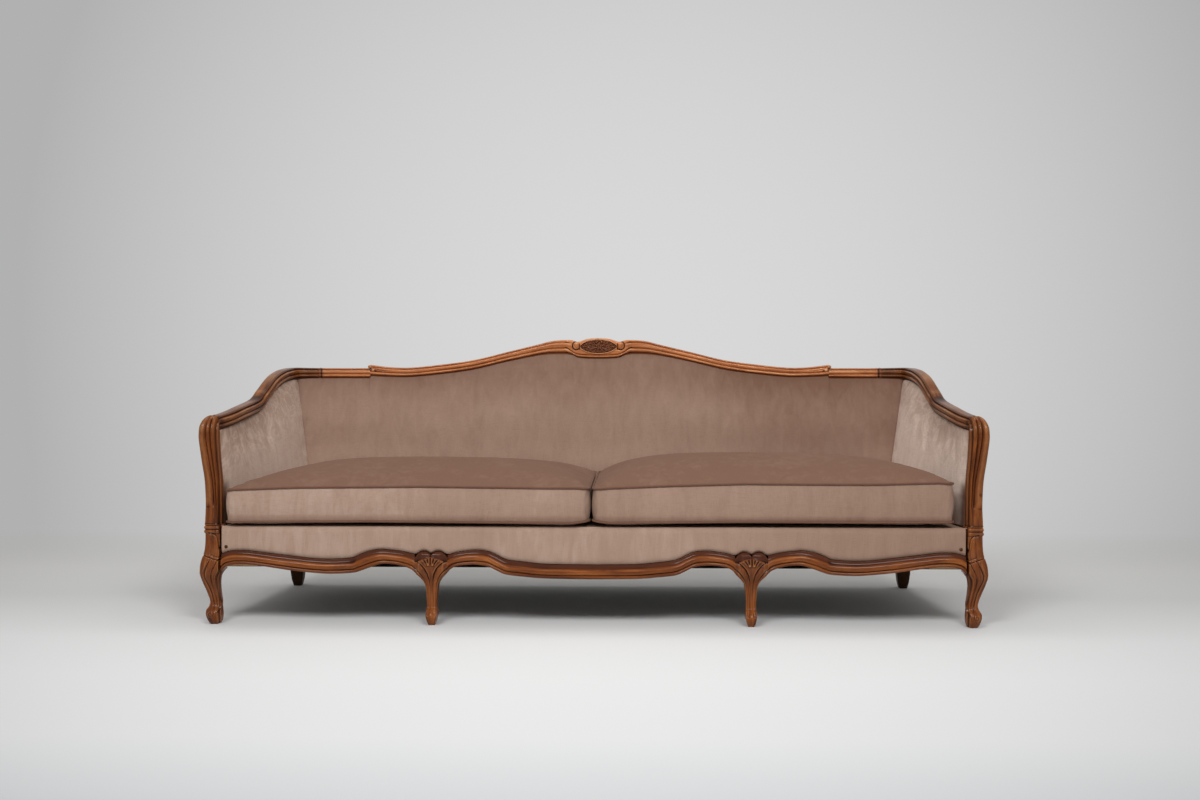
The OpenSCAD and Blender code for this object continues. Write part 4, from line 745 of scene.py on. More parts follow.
# Line of the small scroll at each end of the crest, measured from the panel's middle
SCROLL = [[66, 19], [75, 19], [84, 14], [88, 4], [85, -7], [75, -11], [67, -8]]
SCROLL_MOUTH = [[65, 10], [65, -10]]
# The right half of the crest's leaves: their veins, and small lumps between them
LEAVES = ([[12, -4], [22, -7], [32, -4], [41, 0], [50, 0]], [[14, 4], [22, 9], [30, 9], [33, 4], [28, 2]],
          [[24, -6], [30, -12], [38, -11], [40, -6], [35, -5]],
          [[10, -9], [14, -15], [22, -17], [27, -13], [22, -11]], [[36, 2], [42, 7], [47, 5], [45, 1]])
LUMPS = ((18, 13), (39, -1), (9, 13), (52, -1), (33, -1), (0.5, -16))


def panel_edge(x):
    """Half height of the almond panel of the crest at a place along it."""
    return PANEL_HALF * np.clip(1 - (np.abs(x) / PANEL_X) ** 2.3, 0, 1) ** 0.7


def top_rails():
    xs = np.unique(np.concatenate([np.arange(-CAMEL_X, -CREST_HALF, RAIL_STEP),
                                   np.arange(-CREST_HALF, CREST_HALF, CREST_STEP),
                                   np.arange(CREST_HALF, CAMEL_X, RAIL_STEP), [CAMEL_X]]))
    section = RAIL_SECTION
    # More points over the face, where the crest is carved
    face = (section[:, 0] > 0.3) & (section[:, 1] > -0.06) & (section[:, 1] < 0.42)
    first, count = int(np.argmax(face)), int(face.sum())
    fine, run = np.linspace(0, 1, 60), np.linspace(0, 1, count)
    dense = np.stack([np.interp(fine, run, section[first:first + count, k]) for k in (0, 1)], axis=1)
    section = np.vstack([section[:first], dense, section[first + count:]])
    y, q = section[:, 0], section[:, 1] + 0.5
    rings = []
    for x, top, tall, crest in zip(xs, *camel_at(xs), 1 - soft_step(np.abs(xs), 84, 112)):
        # Below the crest the lower mouldings keep their height and the panel takes the rest
        low_share = between(LOW_PART, LOW_PART * TOP_H * 0.78 / tall, crest)
        z = np.where(q < LOW_PART, q / LOW_PART * low_share,
                     low_share + (q - LOW_PART) / (1 - LOW_PART) * (1 - low_share))
        flat = crest * soft_step(q, 0.44, 0.5) * (1 - soft_step(q, 0.9, 0.97)) * (y > 0.2)
        rings.append(ring(x, TOP_Y - between(y, 0.46, flat) * TOP_D, top - tall + z * tall))

    def relief(p):
        """The crest: an almond panel with a flower and leaves, a rim, two tongues over it and a hook at each end."""
        x, y, z = p[..., 0], p[..., 1], p[..., 2]
        ax, v = np.abs(x), z - PANEL_Z
        edge = panel_edge(x)
        inside = soft_step(edge - np.abs(v), 0, 2.5) * (ax < PANEL_X)
        rim = np.exp(-((np.abs(v) - edge) / 1.9) ** 2) * (ax < PANEL_X + 1)
        lift = -3.4 * inside + 2.4 * rim
        forms = [bead(x, v, (0, -1), (3, 3), 3.8)]
        for a in np.arange(6) * math.pi / 3 + 0.35:
            forms.append(bead(x, v, (7.5 * math.cos(a), -1 + 6.5 * math.sin(a)), (4.6, 2.7), 3.4, a))
        for side in (-1, 1):
            forms += [stroke(x * side, v, line, 1.9, 3.0) for line in LEAVES]
            forms += [bead(x * side, v, spot, (2.6, 2.2), 3.0) for spot in LUMPS]
        draw = np.random.default_rng(5)
        for _ in range(90):
            spot, lean = (draw.uniform(-58, 58), draw.uniform(-20, 20)), draw.uniform(0, math.pi)
            forms.append(bead(x, v, spot, (draw.uniform(2, 4), draw.uniform(1, 1.8)), draw.uniform(1.2, 2.6), lean))
        lift = lift + np.maximum(np.max(forms, axis=0), 0) * inside
        for at, spot, size, rise, lean in ((x, (-5.8, 16.5), (3.3, 6.3), 5.2, -0.25),
                                           (x, (10.5, 16.5), (3.3, 6.3), 5.2, 0.6),
                                           (x, (2.6, 18), (2.6, 4.5), -2.5, 0.0),
                                           (ax, (74, 4), (5.5, 9), 3.0, -0.2)):
            lift = lift + bead(at, v, spot, size, rise, lean)
        lift = lift + strokes(ax, v, (SCROLL, 1.9, -3.4), (SCROLL_MOUTH, 1.6, -2.6))
        on_face = soft_step(-y, -TOP_Y + 10, -TOP_Y + 15)
        # The long rail ends in a small curl over the short one
        ends = bead(ax, z, (770, 739), (4, 5), 2.6, 0.5) + bead(ax, z, (775, 744), (3, 3), -2.4)
        ends = ends + stroke(ax, z, [[768, 746], [752, 741], [728, 736]], 1.5, -1.6)
        return (lift * (ax < 110) + ends) * on_face

    def stain(p):
        """Old polish lies dark in the panel's ground and on the top bead; the rail's lowest fillet takes painted
        shade.
        """
        x, v = np.abs(p[..., 0]), p[..., 2] - PANEL_Z
        ground = soft_step(panel_edge(x) - np.abs(v), 1.0, 3.0) * (x < PANEL_X) * 0.85
        hooks = strokes(x, v, (SCROLL, 2.6, 0.9), (SCROLL_MOUTH, 2.0, 0.8))
        rail = np.maximum(rail_stain_and_shade(section, 0), rail_stain_and_shade(section, 0.25) * soft_step(x, 96, 170)[:, :1])
        return np.clip(np.maximum(np.maximum(ground, hooks), rail), 0, 1)

    crest = dict(finish=crest_walnut, slot="crest_walnut")
    turned_wood("top_rail_centre_carved", rings, ["top_rail_centre"], relief, stain, **crest)

    def collar(p):
        """Two small rings where the short rail meets the arm's corner."""
        x = np.abs(p[..., 0])
        return sum(rise * np.exp(-((x - at) / width) ** 2)
                   for at, width, rise in ((953, 2.4, 1.3), (947.5, 1.6, -1.2), (943, 2.0, 0.9)))

    def collar_stain_and_shade(p):
        # Dark rings where the rails meet, and painted shade on the fillet under the rail
        return np.maximum(rail_stain_and_shade(RAIL_SECTION, 0.35), 0.85 * soft_step(np.abs(p[..., 0]), 937, 944))

    short = [ring(x, TOP_Y - RAIL_SECTION[:, 0] * TOP_D, SIDE_H - TOP_H / 2 + RAIL_SECTION[:, 1] * TOP_H)
             for x in np.linspace(CAMEL_X, SEAM_X, 60)]
    both_sides("top_rail", "moulded", short, relief=collar, stained=collar_stain_and_shade, **crest)
    # The rolled tip of the curl: how far back from the rail's line, and its radius
    turns = np.linspace(0, 2 * math.pi, 33)[:-1]
    tip = np.array([ring(782 + r * np.cos(turns), TOP_Y + y, 751 + r * 0.9 * np.sin(turns)) for y, r in
                    ((-21, 1.0), (-20.8, 2.6), (-20.2, 4.0), (-19.2, 5.2), (-17.6, 6.0), (-14, 6.4), (13, 6.4),
                     (16, 5.8), (18, 3))])
    for side, flip in SIDES:
        turned_wood(f"top_rail_curl_{side}", tip * [flip, 1, 1], (), stained=0.45, **crest)


# ---------------------------------------------------------------- things that follow a path

def path_tree(name, build, *inputs):
    """A node tree with named inputs. Its build adds the nodes and says what comes out."""
    tree = bpy.data.node_groups.new(name, "GeometryNodeTree")
    for title, kind, value in (("Geometry", "Geometry", None), *inputs, ("Finish", "Material", None)):
        socket = tree.interface.new_socket(title, in_out="INPUT", socket_type="NodeSocket" + kind)
        if value is not None:
            socket.default_value = value
    tree.interface.new_socket("Geometry", in_out="OUTPUT", socket_type="NodeSocketGeometry")
    given = wired(tree, "NodeGroupInput").outputs
    real = wired(tree, "GeometryNodeRealizeInstances", {0: build(tree, given)})
    smooth = wired(tree, "GeometryNodeSetShadeSmooth", {"Geometry": real.outputs[0]})
    paint = wired(tree, "GeometryNodeSetMaterial", {"Geometry": smooth.outputs[0], "Material": given["Finish"]})
    wired(tree, "NodeGroupOutput", {0: paint.outputs[0]})
    return tree


def swept(tree, given, radius="Radius"):
    """A round cord swept along the given line of points."""
    curve = wired(tree, "GeometryNodeMeshToCurve", {0: given["Geometry"]})
    circle = wired(tree, "GeometryNodeCurvePrimitiveCircle", {"Resolution": 10, "Radius": given[radius]})
    return wired(tree, "GeometryNodeCurveToMesh", {"Curve": curve.outputs[0], "Profile Curve": circle.outputs[0],
                                                   "Fill Caps": True}).outputs[0]


def spring_row(tree, given):
    """One zigzag wire, repeated along the seat."""
    start = wired(tree, "ShaderNodeCombineXYZ", {"X": given["First"]})
    step = wired(tree, "ShaderNodeCombineXYZ", {"X": given["Spacing"]})
    line = wired(tree, "GeometryNodeMeshLine", {"Count": given["Count"], "Start Location": start.outputs[0],
                                                "Offset": step.outputs[0]})
    return wired(tree, "GeometryNodeInstanceOnPoints", {
        "Points": line.outputs[0], "Instance": swept(tree, given, "Wire radius")}).outputs[0]


def tack_row(tree, given):
    """Flat-headed tacks at an even spacing along a line."""
    curve = wired(tree, "GeometryNodeMeshToCurve", {0: given["Geometry"]})
    even = wired(tree, "GeometryNodeResampleCurve", {"Curve": curve.outputs[0], "Length": given["Spacing"]},
                 mode="LENGTH")
    taper = wired(tree, "ShaderNodeMath", {0: given["Head radius"], 1: 0.7}, operation="MULTIPLY")
    head = wired(tree, "GeometryNodeMeshCone", {
        "Vertices": 10, "Radius Top": given["Head radius"], "Radius Bottom": taper.outputs[0],
        "Depth": given["Head height"]})
    return wired(tree, "GeometryNodeInstanceOnPoints", {
        "Points": even.outputs[0], "Instance": head.outputs["Mesh"]}).outputs[0]


PIPING = path_tree("piping", swept, ("Radius", "Float", 0.0035))
SPRINGS = path_tree("spring_row", spring_row, ("Wire radius", "Float", 0.00175), ("Count", "Int", 10),
                    ("First", "Float", -0.9), ("Spacing", "Float", 0.2))
TACKS = path_tree("tack_row", tack_row, ("Spacing", "Float", 0.04), ("Head radius", "Float", 0.0035),
                  ("Head height", "Float", 0.001))


def plain_mesh(thing):
    """The mesh that a thing's modifiers make of it."""
    view = bpy.context.evaluated_depsgraph_get()
    return bpy.data.meshes.new_from_object(thing.evaluated_get(view), depsgraph=view)


def laid(name, tree, lines, finish, slot, body="frame", stands_for=(), closed=False, **sizes):
    """Runs a tree over lines of points and keeps the plain mesh that comes out."""
    points, edges = [], []
    for line in lines:
        first = len(points)
        points += (np.asarray(line, float) * MM).tolist()
        edges += [(first + k, first + k + 1) for k in range(len(line) - 1)]
        if closed:
            edges.append((len(points) - 1, first))
    mesh = bpy.data.meshes.new(name + "_line")
    mesh.from_pydata(points, edges, [])
    holder = shown_in_scene(name + "_line", mesh)
    dress = holder.modifiers.new("tree", "NODES")
    dress.node_group = tree
    wanted = {key.replace("_", " "): value for key, value in sizes.items()} | {"Finish": finish}
    for item in tree.interface.items_tree:
        if item.in_out == "INPUT" and item.name in wanted:
            dress[item.identifier] = wanted[item.name]
    plain = plain_mesh(holder)
    plain.name = name
    bpy.data.objects.remove(holder)
    if not len(plain.materials):
        plain.materials.append(finish)
    return finished(shown_in_scene(name, plain), body, stands_for)


# ---------------------------------------------------------------- stuffed pieces

VELVET_CLOTH = dict(quality=5, mass=0.35, tension_stiffness=18, compression_stiffness=18, shear_stiffness=6,
                    bending_stiffness=0.8, tension_damping=8, compression_damping=8, shear_damping=8, air_damping=2)


def stuffed(piece, held, pressure, slack, cap, frames=20):
    """Fills a sewn cover: the cloth swells between its held seams, and no point moves further than the cap."""
    start = places(piece.data)
    group = piece.vertex_groups.new(name="seams")
    group.add(np.nonzero(held)[0].tolist(), 1.0, "REPLACE")
    cloth = piece.modifiers.new("stuffing", "CLOTH")
    for key, value in dict(VELVET_CLOTH, use_pressure=True, uniform_pressure_force=pressure, shrink_min=-slack,
                           vertex_group_mass="seams", pin_stiffness=1).items():
        setattr(cloth.settings, key, value)
    cloth.settings.effector_weights.gravity = 0
    cloth.collision_settings.use_collision = False
    cloth.point_cache.frame_start = 1
    cloth.point_cache.frame_end = frames
    for step in range(1, frames + 1):
        scene.frame_set(step)
    swollen = piece.evaluated_get(bpy.context.evaluated_depsgraph_get())
    moved = places(swollen.data) - start
    size = np.linalg.norm(moved, axis=1, keepdims=True)
    moved *= np.minimum(1, cap * MM / np.maximum(size, 1e-9))
    piece.modifiers.remove(cloth)
    piece.vertex_groups.clear()
    scene.frame_set(1)
    print("stuffed", piece.name, "points", len(start), "moved mm", round(float(size.max() / MM), 1),
          "mean", round(float(size.mean() / MM), 2))
    return (start + moved) / MM


def reshaped(piece, points):
    """Gives the piece its new points, one more subdivision for smoothness, and says where its points then are."""
    piece.data.vertices.foreach_set("co", (points * MM).astype(np.float32).ravel())
    piece.data.update()
    return refined(piece)


def refined(piece):
    fine = piece.modifiers.new("fine", "SUBSURF")
    fine.levels = fine.render_levels = 1
    mesh = plain_mesh(piece)
    piece.modifiers.remove(fine)
    old, piece.data = piece.data, mesh
    bpy.data.meshes.remove(old)
    return places(mesh) / MM


def grid_faces(rows, columns, first=0):
    i, j = np.meshgrid(np.arange(rows - 1), np.arange(columns - 1), indexing="ij")
    a = first + i * columns + j
    return np.stack([a, a + 1, a + columns + 1, a + columns], axis=-1).reshape(-1, 4)


def slab(front, back):
    """A closed pad from two grids of points, front and back, with a wall between their edges."""
    rows, columns = front.shape[:2]
    points = np.vstack([front.reshape(-1, 3), back.reshape(-1, 3)])
    half = rows * columns
    number = np.arange(half).reshape(rows, columns)
    rim = np.concatenate([number[0], number[1:, -1], number[-1, -2::-1], number[-2:0:-1, 0]])
    following = np.roll(rim, -1)
    faces = np.vstack([grid_faces(rows, columns), grid_faces(rows, columns, half)[:, ::-1],
                       np.stack([following, rim, rim + half, following + half], axis=1)])
    a, b, c, d = points[faces].transpose(1, 0, 2)
    if (a * (np.cross(b, c) + np.cross(c, d))).sum() < 0:
        faces = faces[:, ::-1]
    return points, faces


def pad(name, front, back, slot="velvet", finish=velvet, cloth="velvet", **look):
    """A slab of cloth in place of the solid of that name."""
    return made(f"{name}_{cloth}", *slab(front, back), finish, slot, "frame", [name], **look)


def close_ended(count, gap):
    """Even shares from 0 to 1, with more near both ends, so that an edge stays crisp when it is refined."""
    tight = gap * np.array([0, 1, 3, 7])
    return np.concatenate([tight, np.linspace(gap * 13, 1 - gap * 13, count), 1 - tight[::-1]])


def free_middle(rows, columns):
    """1 along the edges of a pad's front, which are nailed down, and all over its back; 0 where it can swell."""
    held = np.ones((2, rows, columns))
    held[0, 3:-3, 3:-3] = 0
    return held.ravel()


CUSHION_GAP, CUSHION_H, WELT = 3.0, 101.0, 3.5
CUSHION_FRONT_Y, CUSHION_REAR_Y = BOARD_FRONT_Y - FACE_OUT, BOARD_FRONT_Y - FACE_OUT + 628.0
CUSHION_FRONT_X, CUSHION_REAR_X = STILE_IN - 22, REAR_IN - 54 - 15
CUSHION_LOW = DECK_H + 12
CUSHION_TOP = CUSHION_LOW + CUSHION_H
CUSHION_CELLS, CUSHION_CORNER = (92, 56, 9), 30.0
CUSHION_FLOOR = DECK_H + 0.4
# How far in from the seams the crown rises, how round it is, and how much of it the cover is cut with
CROWN_REACH, CROWN_ROUND, CROWN_CUT = 300, 2.6, 0.86
# The underside bellies out a little inside its seams, and the border bows out between its welts
BELLY, BELLY_REACH, BORDER_BOW = 11.5, 60, 2.6
# How far the welts stray from level along the front, from the split outwards, and how far the outer end spreads
TOP_WELT = {"left": ((0, 0.03, 0.12, 0.45, 0.8, 0.97, 1), (-4, 0, 0, 4, 0, -7, -12)),
            "right": ((0, 0.05, 0.2, 0.42, 0.6, 0.78, 0.95, 1), (-4, 0, 7, 14, 13, 13, 18, 14))}
LOW_WELT = {"left": ((0, 0.05, 0.3, 0.6, 1), (7, 0, 2, 4, 0)), "right": ((0, 0.05, 0.42, 0.75, 1), (7, 1, 6, 5, 6))}
SPREAD = {"left": 17.0, "right": -5.0}


def cushion(side, flip, crown, seed):
    """A boxed and piped seat cushion: crowned panels over a bowed border, with the welt sewn into both seams."""
    nx, ny, nz = CUSHION_CELLS
    wide, deep = CUSHION_FRONT_X - CUSHION_GAP, CUSHION_REAR_Y - CUSHION_FRONT_Y

    def outline(a, b, inset):
        """Where a share of the panel lies: its corners rounded, its outer side raked like the arm."""
        x, y = a * (wide / 2 - inset), b * (deep / 2 - inset)
        free_x, free_y = wide / 2 - inset - CUSHION_CORNER, deep / 2 - inset - CUSHION_CORNER
        qx, qy = np.clip(x, -free_x, free_x), np.clip(y, -free_y, free_y)
        dx, dy = x - qx, y - qy
        reach = np.maximum(np.abs(dx), np.abs(dy))
        size = np.maximum(np.hypot(dx, dy), 1e-9)
        x, y = qx + dx / size * reach, qy + dy / size * reach
        outer = between(CUSHION_FRONT_X, CUSHION_REAR_X, (y + deep / 2) / deep)
        return CUSHION_GAP + (x + wide / 2) / wide * (outer - CUSHION_GAP), CUSHION_FRONT_Y + (y + deep / 2)

    # Cells are finer near the seams, so that the corners of the border stay round
    a, b = (np.sin(np.linspace(-1, 1, n + 1) * crowd) / math.sin(crowd) for n, crowd in ((nx, 1.35), (ny, 1.3)))
    ga, gb = np.meshgrid(a, b, indexing="ij")
    from_end = np.maximum((1 - np.abs(ga)) * wide / 2, 0.1)
    from_front = np.maximum((1 - np.abs(gb)) * deep / 2, 0.1)
    away = (from_end ** -CROWN_ROUND + from_front ** -CROWN_ROUND) ** (-1 / CROWN_ROUND)
    rise = 1 - (1 - np.clip(away / CROWN_REACH, 0, 1)) ** 3
    x, y = outline(ga, gb, WELT)
    count = (nx + 1) * (ny + 1)
    belly = BELLY * (1 - (1 - np.clip(away / BELLY_REACH, 0, 1)) ** 2)
    points = [ring(x, y, z).reshape(-1, 3) for z in (CUSHION_TOP + CROWN_CUT * crown * rise, CUSHION_LOW - belly)]
    rim = np.array([(i, 0) for i in range(nx)] + [(nx, j) for j in range(ny)]
                   + [(i, ny) for i in range(nx, 0, -1)] + [(0, j) for j in range(ny, 0, -1)])
    edge = rim[:, 0] * (ny + 1) + rim[:, 1]
    rings = [edge + count]
    for k in range(1, nz):
        t = k / nz
        x, y = outline(a[rim[:, 0]], b[rim[:, 1]], WELT - BORDER_BOW * math.sin(math.pi * t))
        points.append(ring(x, y, between(CUSHION_LOW, CUSHION_TOP, t)))
        rings.append(2 * count + (k - 1) * len(rim) + np.arange(len(rim)))
    rings.append(edge)
    walls = [np.stack([low, np.roll(low, -1), np.roll(high, -1), high], axis=1)
             for low, high in zip(rings, rings[1:])]
    faces = np.vstack([grid_faces(nx + 1, ny + 1)[:, ::-1], grid_faces(nx + 1, ny + 1, count), *walls])
    points = np.vstack(points) * [flip, 1, 1]
    body = f"cushion_{side}"
    piece = made(f"seat_cushion_{side}_velvet", points, faces[:, ::flip], velvet, "velvet", body,
                 [f"seat_cushion_{side}"])
    held = np.zeros(len(points))
    held[edge] = held[edge + count] = 1
    new = stuffed(piece, held, pressure=3.2, slack=0.006, cap=24)
    # The foam holds the crown: what the stuffing adds is scaled to the height that the cushion shows
    tallest = new[:count, 2].max() - CUSHION_TOP
    if tallest > 1:
        new[:count, 2] = CUSHION_TOP + (new[:count, 2] - CUSHION_TOP) * crown / tallest
    new[:, 2] = np.maximum(new[:, 2], CUSHION_FLOOR)
    # Hand-filled, so it isn't quite even
    draw = np.random.default_rng(seed)
    inner = np.zeros(len(new))
    inner[:count] = rise.ravel() ** 0.5
    for _ in range(26):
        cx, cy = draw.uniform(60, 1000), draw.uniform(-340, 220)
        wx, wy, up = draw.uniform(60, 190), draw.uniform(50, 130), draw.uniform(-1.5, 1.5)
        lump = np.exp(-((np.abs(new[:, 0]) - cx) / wx) ** 2 - ((new[:, 1] - cy) / wy) ** 2)
        new[:, 2] += up * lump * inner
    # The front of the box isn't dead straight: the welts rise over the fullest part and drop at the corners
    out = np.clip((np.abs(new[:, 0]) - CUSHION_GAP) / wide, 0, 1)
    near_front = np.exp(-((new[:, 1] - CUSHION_FRONT_Y) / 240) ** 2)
    share_up = np.clip((new[:, 2] - CUSHION_LOW) / CUSHION_H, 0, 1)
    new[:, 2] += between(np.interp(out, *LOW_WELT[side]), np.interp(out, *TOP_WELT[side]), share_up) * near_front
    new[:, 0] += SPREAD[side] * out * near_front * np.sign(new[:, 0])
    new[:, 2] = np.maximum(new[:, 2], CUSHION_FLOOR)
    place = reshaped(piece, new)
    # Painted light and shade through the pile: the box lighter and the panels darker as light falls on them, each
    # flank with a tone of its own, and painted shade along the foot of the box
    normal = np.empty(len(place) * 3)
    piece.data.vertex_normals.foreach_get("vector", normal)
    up = normal.reshape(-1, 3)[:, 2]
    far = soft_step(flip * place[:, 0], 300, 800)
    flank_painted_light = 0.48 + (0.1 + 0.1 * far if side == "right" else 0.06 * (1 - far))
    low = soft_step(CUSHION_LOW + 26 - place[:, 2], 0, 16) * (1 - soft_step(np.abs(up), 0.4, 0.8))
    carried(piece, "nap_and_painted_light", between(flank_painted_light + 0.22 * low, 1.0, soft_step(up, 0.3, 0.8)))
    carried(piece, "whorl", 0.15)
    seams = []
    for welt, lift in ((edge, 0.6), (edge + count, -0.6)):
        line = new[welt]
        ahead = np.roll(line, -1, axis=0)[:, :2] - np.roll(line, 1, axis=0)[:, :2]
        n = ahead[:, ::-1] * [1, -1] / np.maximum(np.linalg.norm(ahead, axis=1, keepdims=True), 1e-9)
        n *= np.sign((n * (line - line.mean(axis=0))[:, :2]).sum(axis=1))[:, None]
        seams.append(np.column_stack([line[:, :2] + n * 1.6, line[:, 2] + lift]))
    cord = laid(f"seat_cushion_{side}_piping", PIPING, seams, velvet, "velvet", body, closed=True, Radius=0.0033)
    # The piping takes the deep tone and a darker tone in the seams: painted shade where it sits in them
    carried(cord, "nap_and_painted_light", 1.0)
    carried(cord, "seam_and_shadow", 0.45)


def rail_under(x):
    """Underside of the top rails over a place of the back."""
    x = np.abs(x)
    top, tall = camel_at(x)
    under = np.where(x < CAMEL_X, top - tall, SIDE_H - TOP_H)
    return np.where(x > SEAM_X, np.interp(x, arm_foot[::-1, 0], arm_foot[::-1, 2]) + 0.3, under)


# How far the rear stiles' inner sides lean out up to the top rail
REAR_LEAN = BLOCK * 0.62
CREASE_LOW = np.array([REAR_IN - 54, REAR_FRONT_Y - 70])
CREASE_TOP = np.array([REAR_IN + REAR_LEAN - 9, TOP_Y - 0.35 * TOP_D])
PAD_Z = DECK_H + 0.3
# Thickness of the back pad at its foot and at its top, and how far each pad bows out in its middle
PAD_THICK, BACK_BOW, ARM_BOW = (56, 5), 14, 7
# The front border stands out from the board, and is tucked in under the deck and behind the rail
BORDER_OUT, BORDER_TUCK_TOP, BORDER_TUCK_LOW = 12, 3.4, 1.6


def back_pad():
    """The tight inside back, from the deck up to the top rails and round to the arms' creases."""
    s = close_ended(36, 0.0022)
    half_top = REAR_IN + REAR_LEAN - 1.4
    steps = [x / half_top for x in (CAMEL_X + 0.6, CAMEL_X + 1.8, SEAM_X)]
    u = np.union1d(2 * close_ended(150, 0.0008) - 1, np.linspace(-0.12, 0.12, 45))
    u = np.union1d(u, steps + [-step for step in steps])
    front, back = [], []
    for t in s:
        x = u * (REAR_IN + REAR_LEAN * t - 1.4)
        z = between(PAD_Z, rail_under(x - 1.2 * np.sign(x)) + 0.4, t)
        y = between(CREASE_LOW[1], CREASE_TOP[1], t)
        bow = BACK_BOW * 4 * t * (1 - t) * (1 - np.abs(u) ** 6)
        tuck = 2.6 * (1 - np.clip((1 - t) * 430 / 12, 0, 1)) ** 2
        front.append(ring(x, y - bow + tuck, z))
        back.append(ring(x, y + between(*PAD_THICK, t), z))
    piece = pad("back_pad", np.array(front), np.array(back))
    new = stuffed(piece, free_middle(len(s), len(u)), pressure=0.9, slack=0.004, cap=9, frames=14)
    x, _, z = reshaped(piece, new).T
    # Painted light and shade: the back darker to the right and towards the top rail, a little darker to the left,
    # lighter low down
    carried(piece, "nap_and_painted_light", 0.64 + 0.21 * soft_step(x, 150, 700) + 0.04 * soft_step(-x, 250, 700)
            + 0.2 * soft_step(z, 590, 740) - 0.1 * soft_step(-z, -520, -440))
    carried(piece, "whorl", 0.12)


def arm_pads():
    """The tight inside arms, under the arm rails, from the posts to the creases beside the back."""
    share = (arm_foot[:, 1] - FRONT_BACK_Y) / (CREASE_TOP[1] - FRONT_BACK_Y)
    under = share < 0.985
    t, up = close_ended(54, 0.002), close_ended(34, 0.003)
    top = np.interp(t, [*share[under], 1.0], [*arm_foot[under, 2], CORNER_UNDER - 0.6])
    inner, outer = [], []
    for s in up:
        start = STILE_IN + BLOCK * between(0.08, 0.34, s)
        bow = ARM_BOW * 4 * s * (1 - s) * 4 * t * (1 - t)
        tuck = 4.0 * (1 - np.clip((1 - s) * (top - PAD_Z) / 12, 0, 1)) ** 2
        y = between(FRONT_BACK_Y + 0.3, between(CREASE_LOW[1], CREASE_TOP[1], s) - 0.3, t)
        z = between(PAD_Z, top, s)
        inner.append(ring(between(start, between(CREASE_LOW[0], CREASE_TOP[0], s), t) - bow + tuck, y, z))
        outer.append(ring(between(start + 10, REAR_IN + REAR_LEAN * s - 1.2, t), y, z))
    # Painted light in the lower arm, the right lighter than the left, and how much painted shade it takes under the
    # rail
    lie_and_painted_light = {"left": (0.3, 0.16), "right": (0.07, 0.3)}
    for side, flip in SIDES:
        piece = pad(f"arm_pad_{side}", np.array(inner) * [flip, 1, 1], np.array(outer) * [flip, 1, 1])
        new = stuffed(piece, free_middle(len(up), len(t)), pressure=0.9, slack=0.008, cap=7, frames=14)
        _, y, z = reshaped(piece, new).T
        below = z - np.interp(y, arm_foot[under, 1], arm_foot[under, 2])
        carried(piece, "nap_and_painted_light", lie_and_painted_light[side][0] + lie_and_painted_light[side][1] * soft_step(below, -150, -10))
        carried(piece, "whorl", 0.2 + 0.8 * soft_step(below, -170, -60))
        # Painted shadow in the slot between the post and the cushion, low at the front
        carried(piece, "seam_and_shadow", 0.95 * soft_step(-y, 285, 318) * (1 - soft_step(z, 385, 440)))


def border_line():
    """Top line of the carved front, from its middle to a stile: what the front border sits on."""
    rail_end = OUTER_ROWS[0, 1] + OUTER_ROWS[0, 2]
    u = np.linspace(-0.97, 0.97, 41)
    leg = np.stack([MID_X + u * MID_W / 2, np.maximum(petal_top(u, 0.52) + 1, rail_end)], axis=1)
    rails = [np.stack([rows[:, 0], rows[:, 1] + rows[:, 2]], axis=1) for rows in (CENTRE_ROWS, OUTER_ROWS)]
    line = np.vstack([rails[0], leg, rails[1]])
    return line[np.argsort(line[:, 0], kind="stable")].T


def front_border():
    """The covered band between the carved rail and the deck."""
    end = STILE_IN - 0.4
    xs = np.concatenate([np.arange(-end, end, 6.0), [end]])
    low = np.interp(np.abs(xs), *border_line()) + 0.2
    face, rear = [], []
    for s in close_ended(10, 0.009):
        out = (BORDER_OUT * (1 - (2 * s - 1) ** 8 * 0.55) - BORDER_TUCK_TOP * soft_step(s, 0.86, 1.0)
               - BORDER_TUCK_LOW * (1 - soft_step(s, 0, 0.1)))
        z = between(low, DECK_H, s)
        face.append(ring(xs, BOARD_FRONT_Y - 0.3 - out, z))
        rear.append(ring(xs, BOARD_FRONT_Y - 0.3, z))
    piece = pad("front_border", np.array(face), np.array(rear))
    x = refined(piece)[:, 0]
    # Painted shade: the border darker towards the right
    carried(piece, "nap_and_painted_light", 0.49 + 0.2 * soft_step(x, 200, 900))


# Thickness of an outside cover and of a spring's clip, a spring's wire, and how many springs and straps there are
CLOTH_T, CLIP_T, WIRE = 3.5, 1.2, 3.5
SPRING_COUNT, STRAP_COUNT, STRAP_W = 10, 9, 60


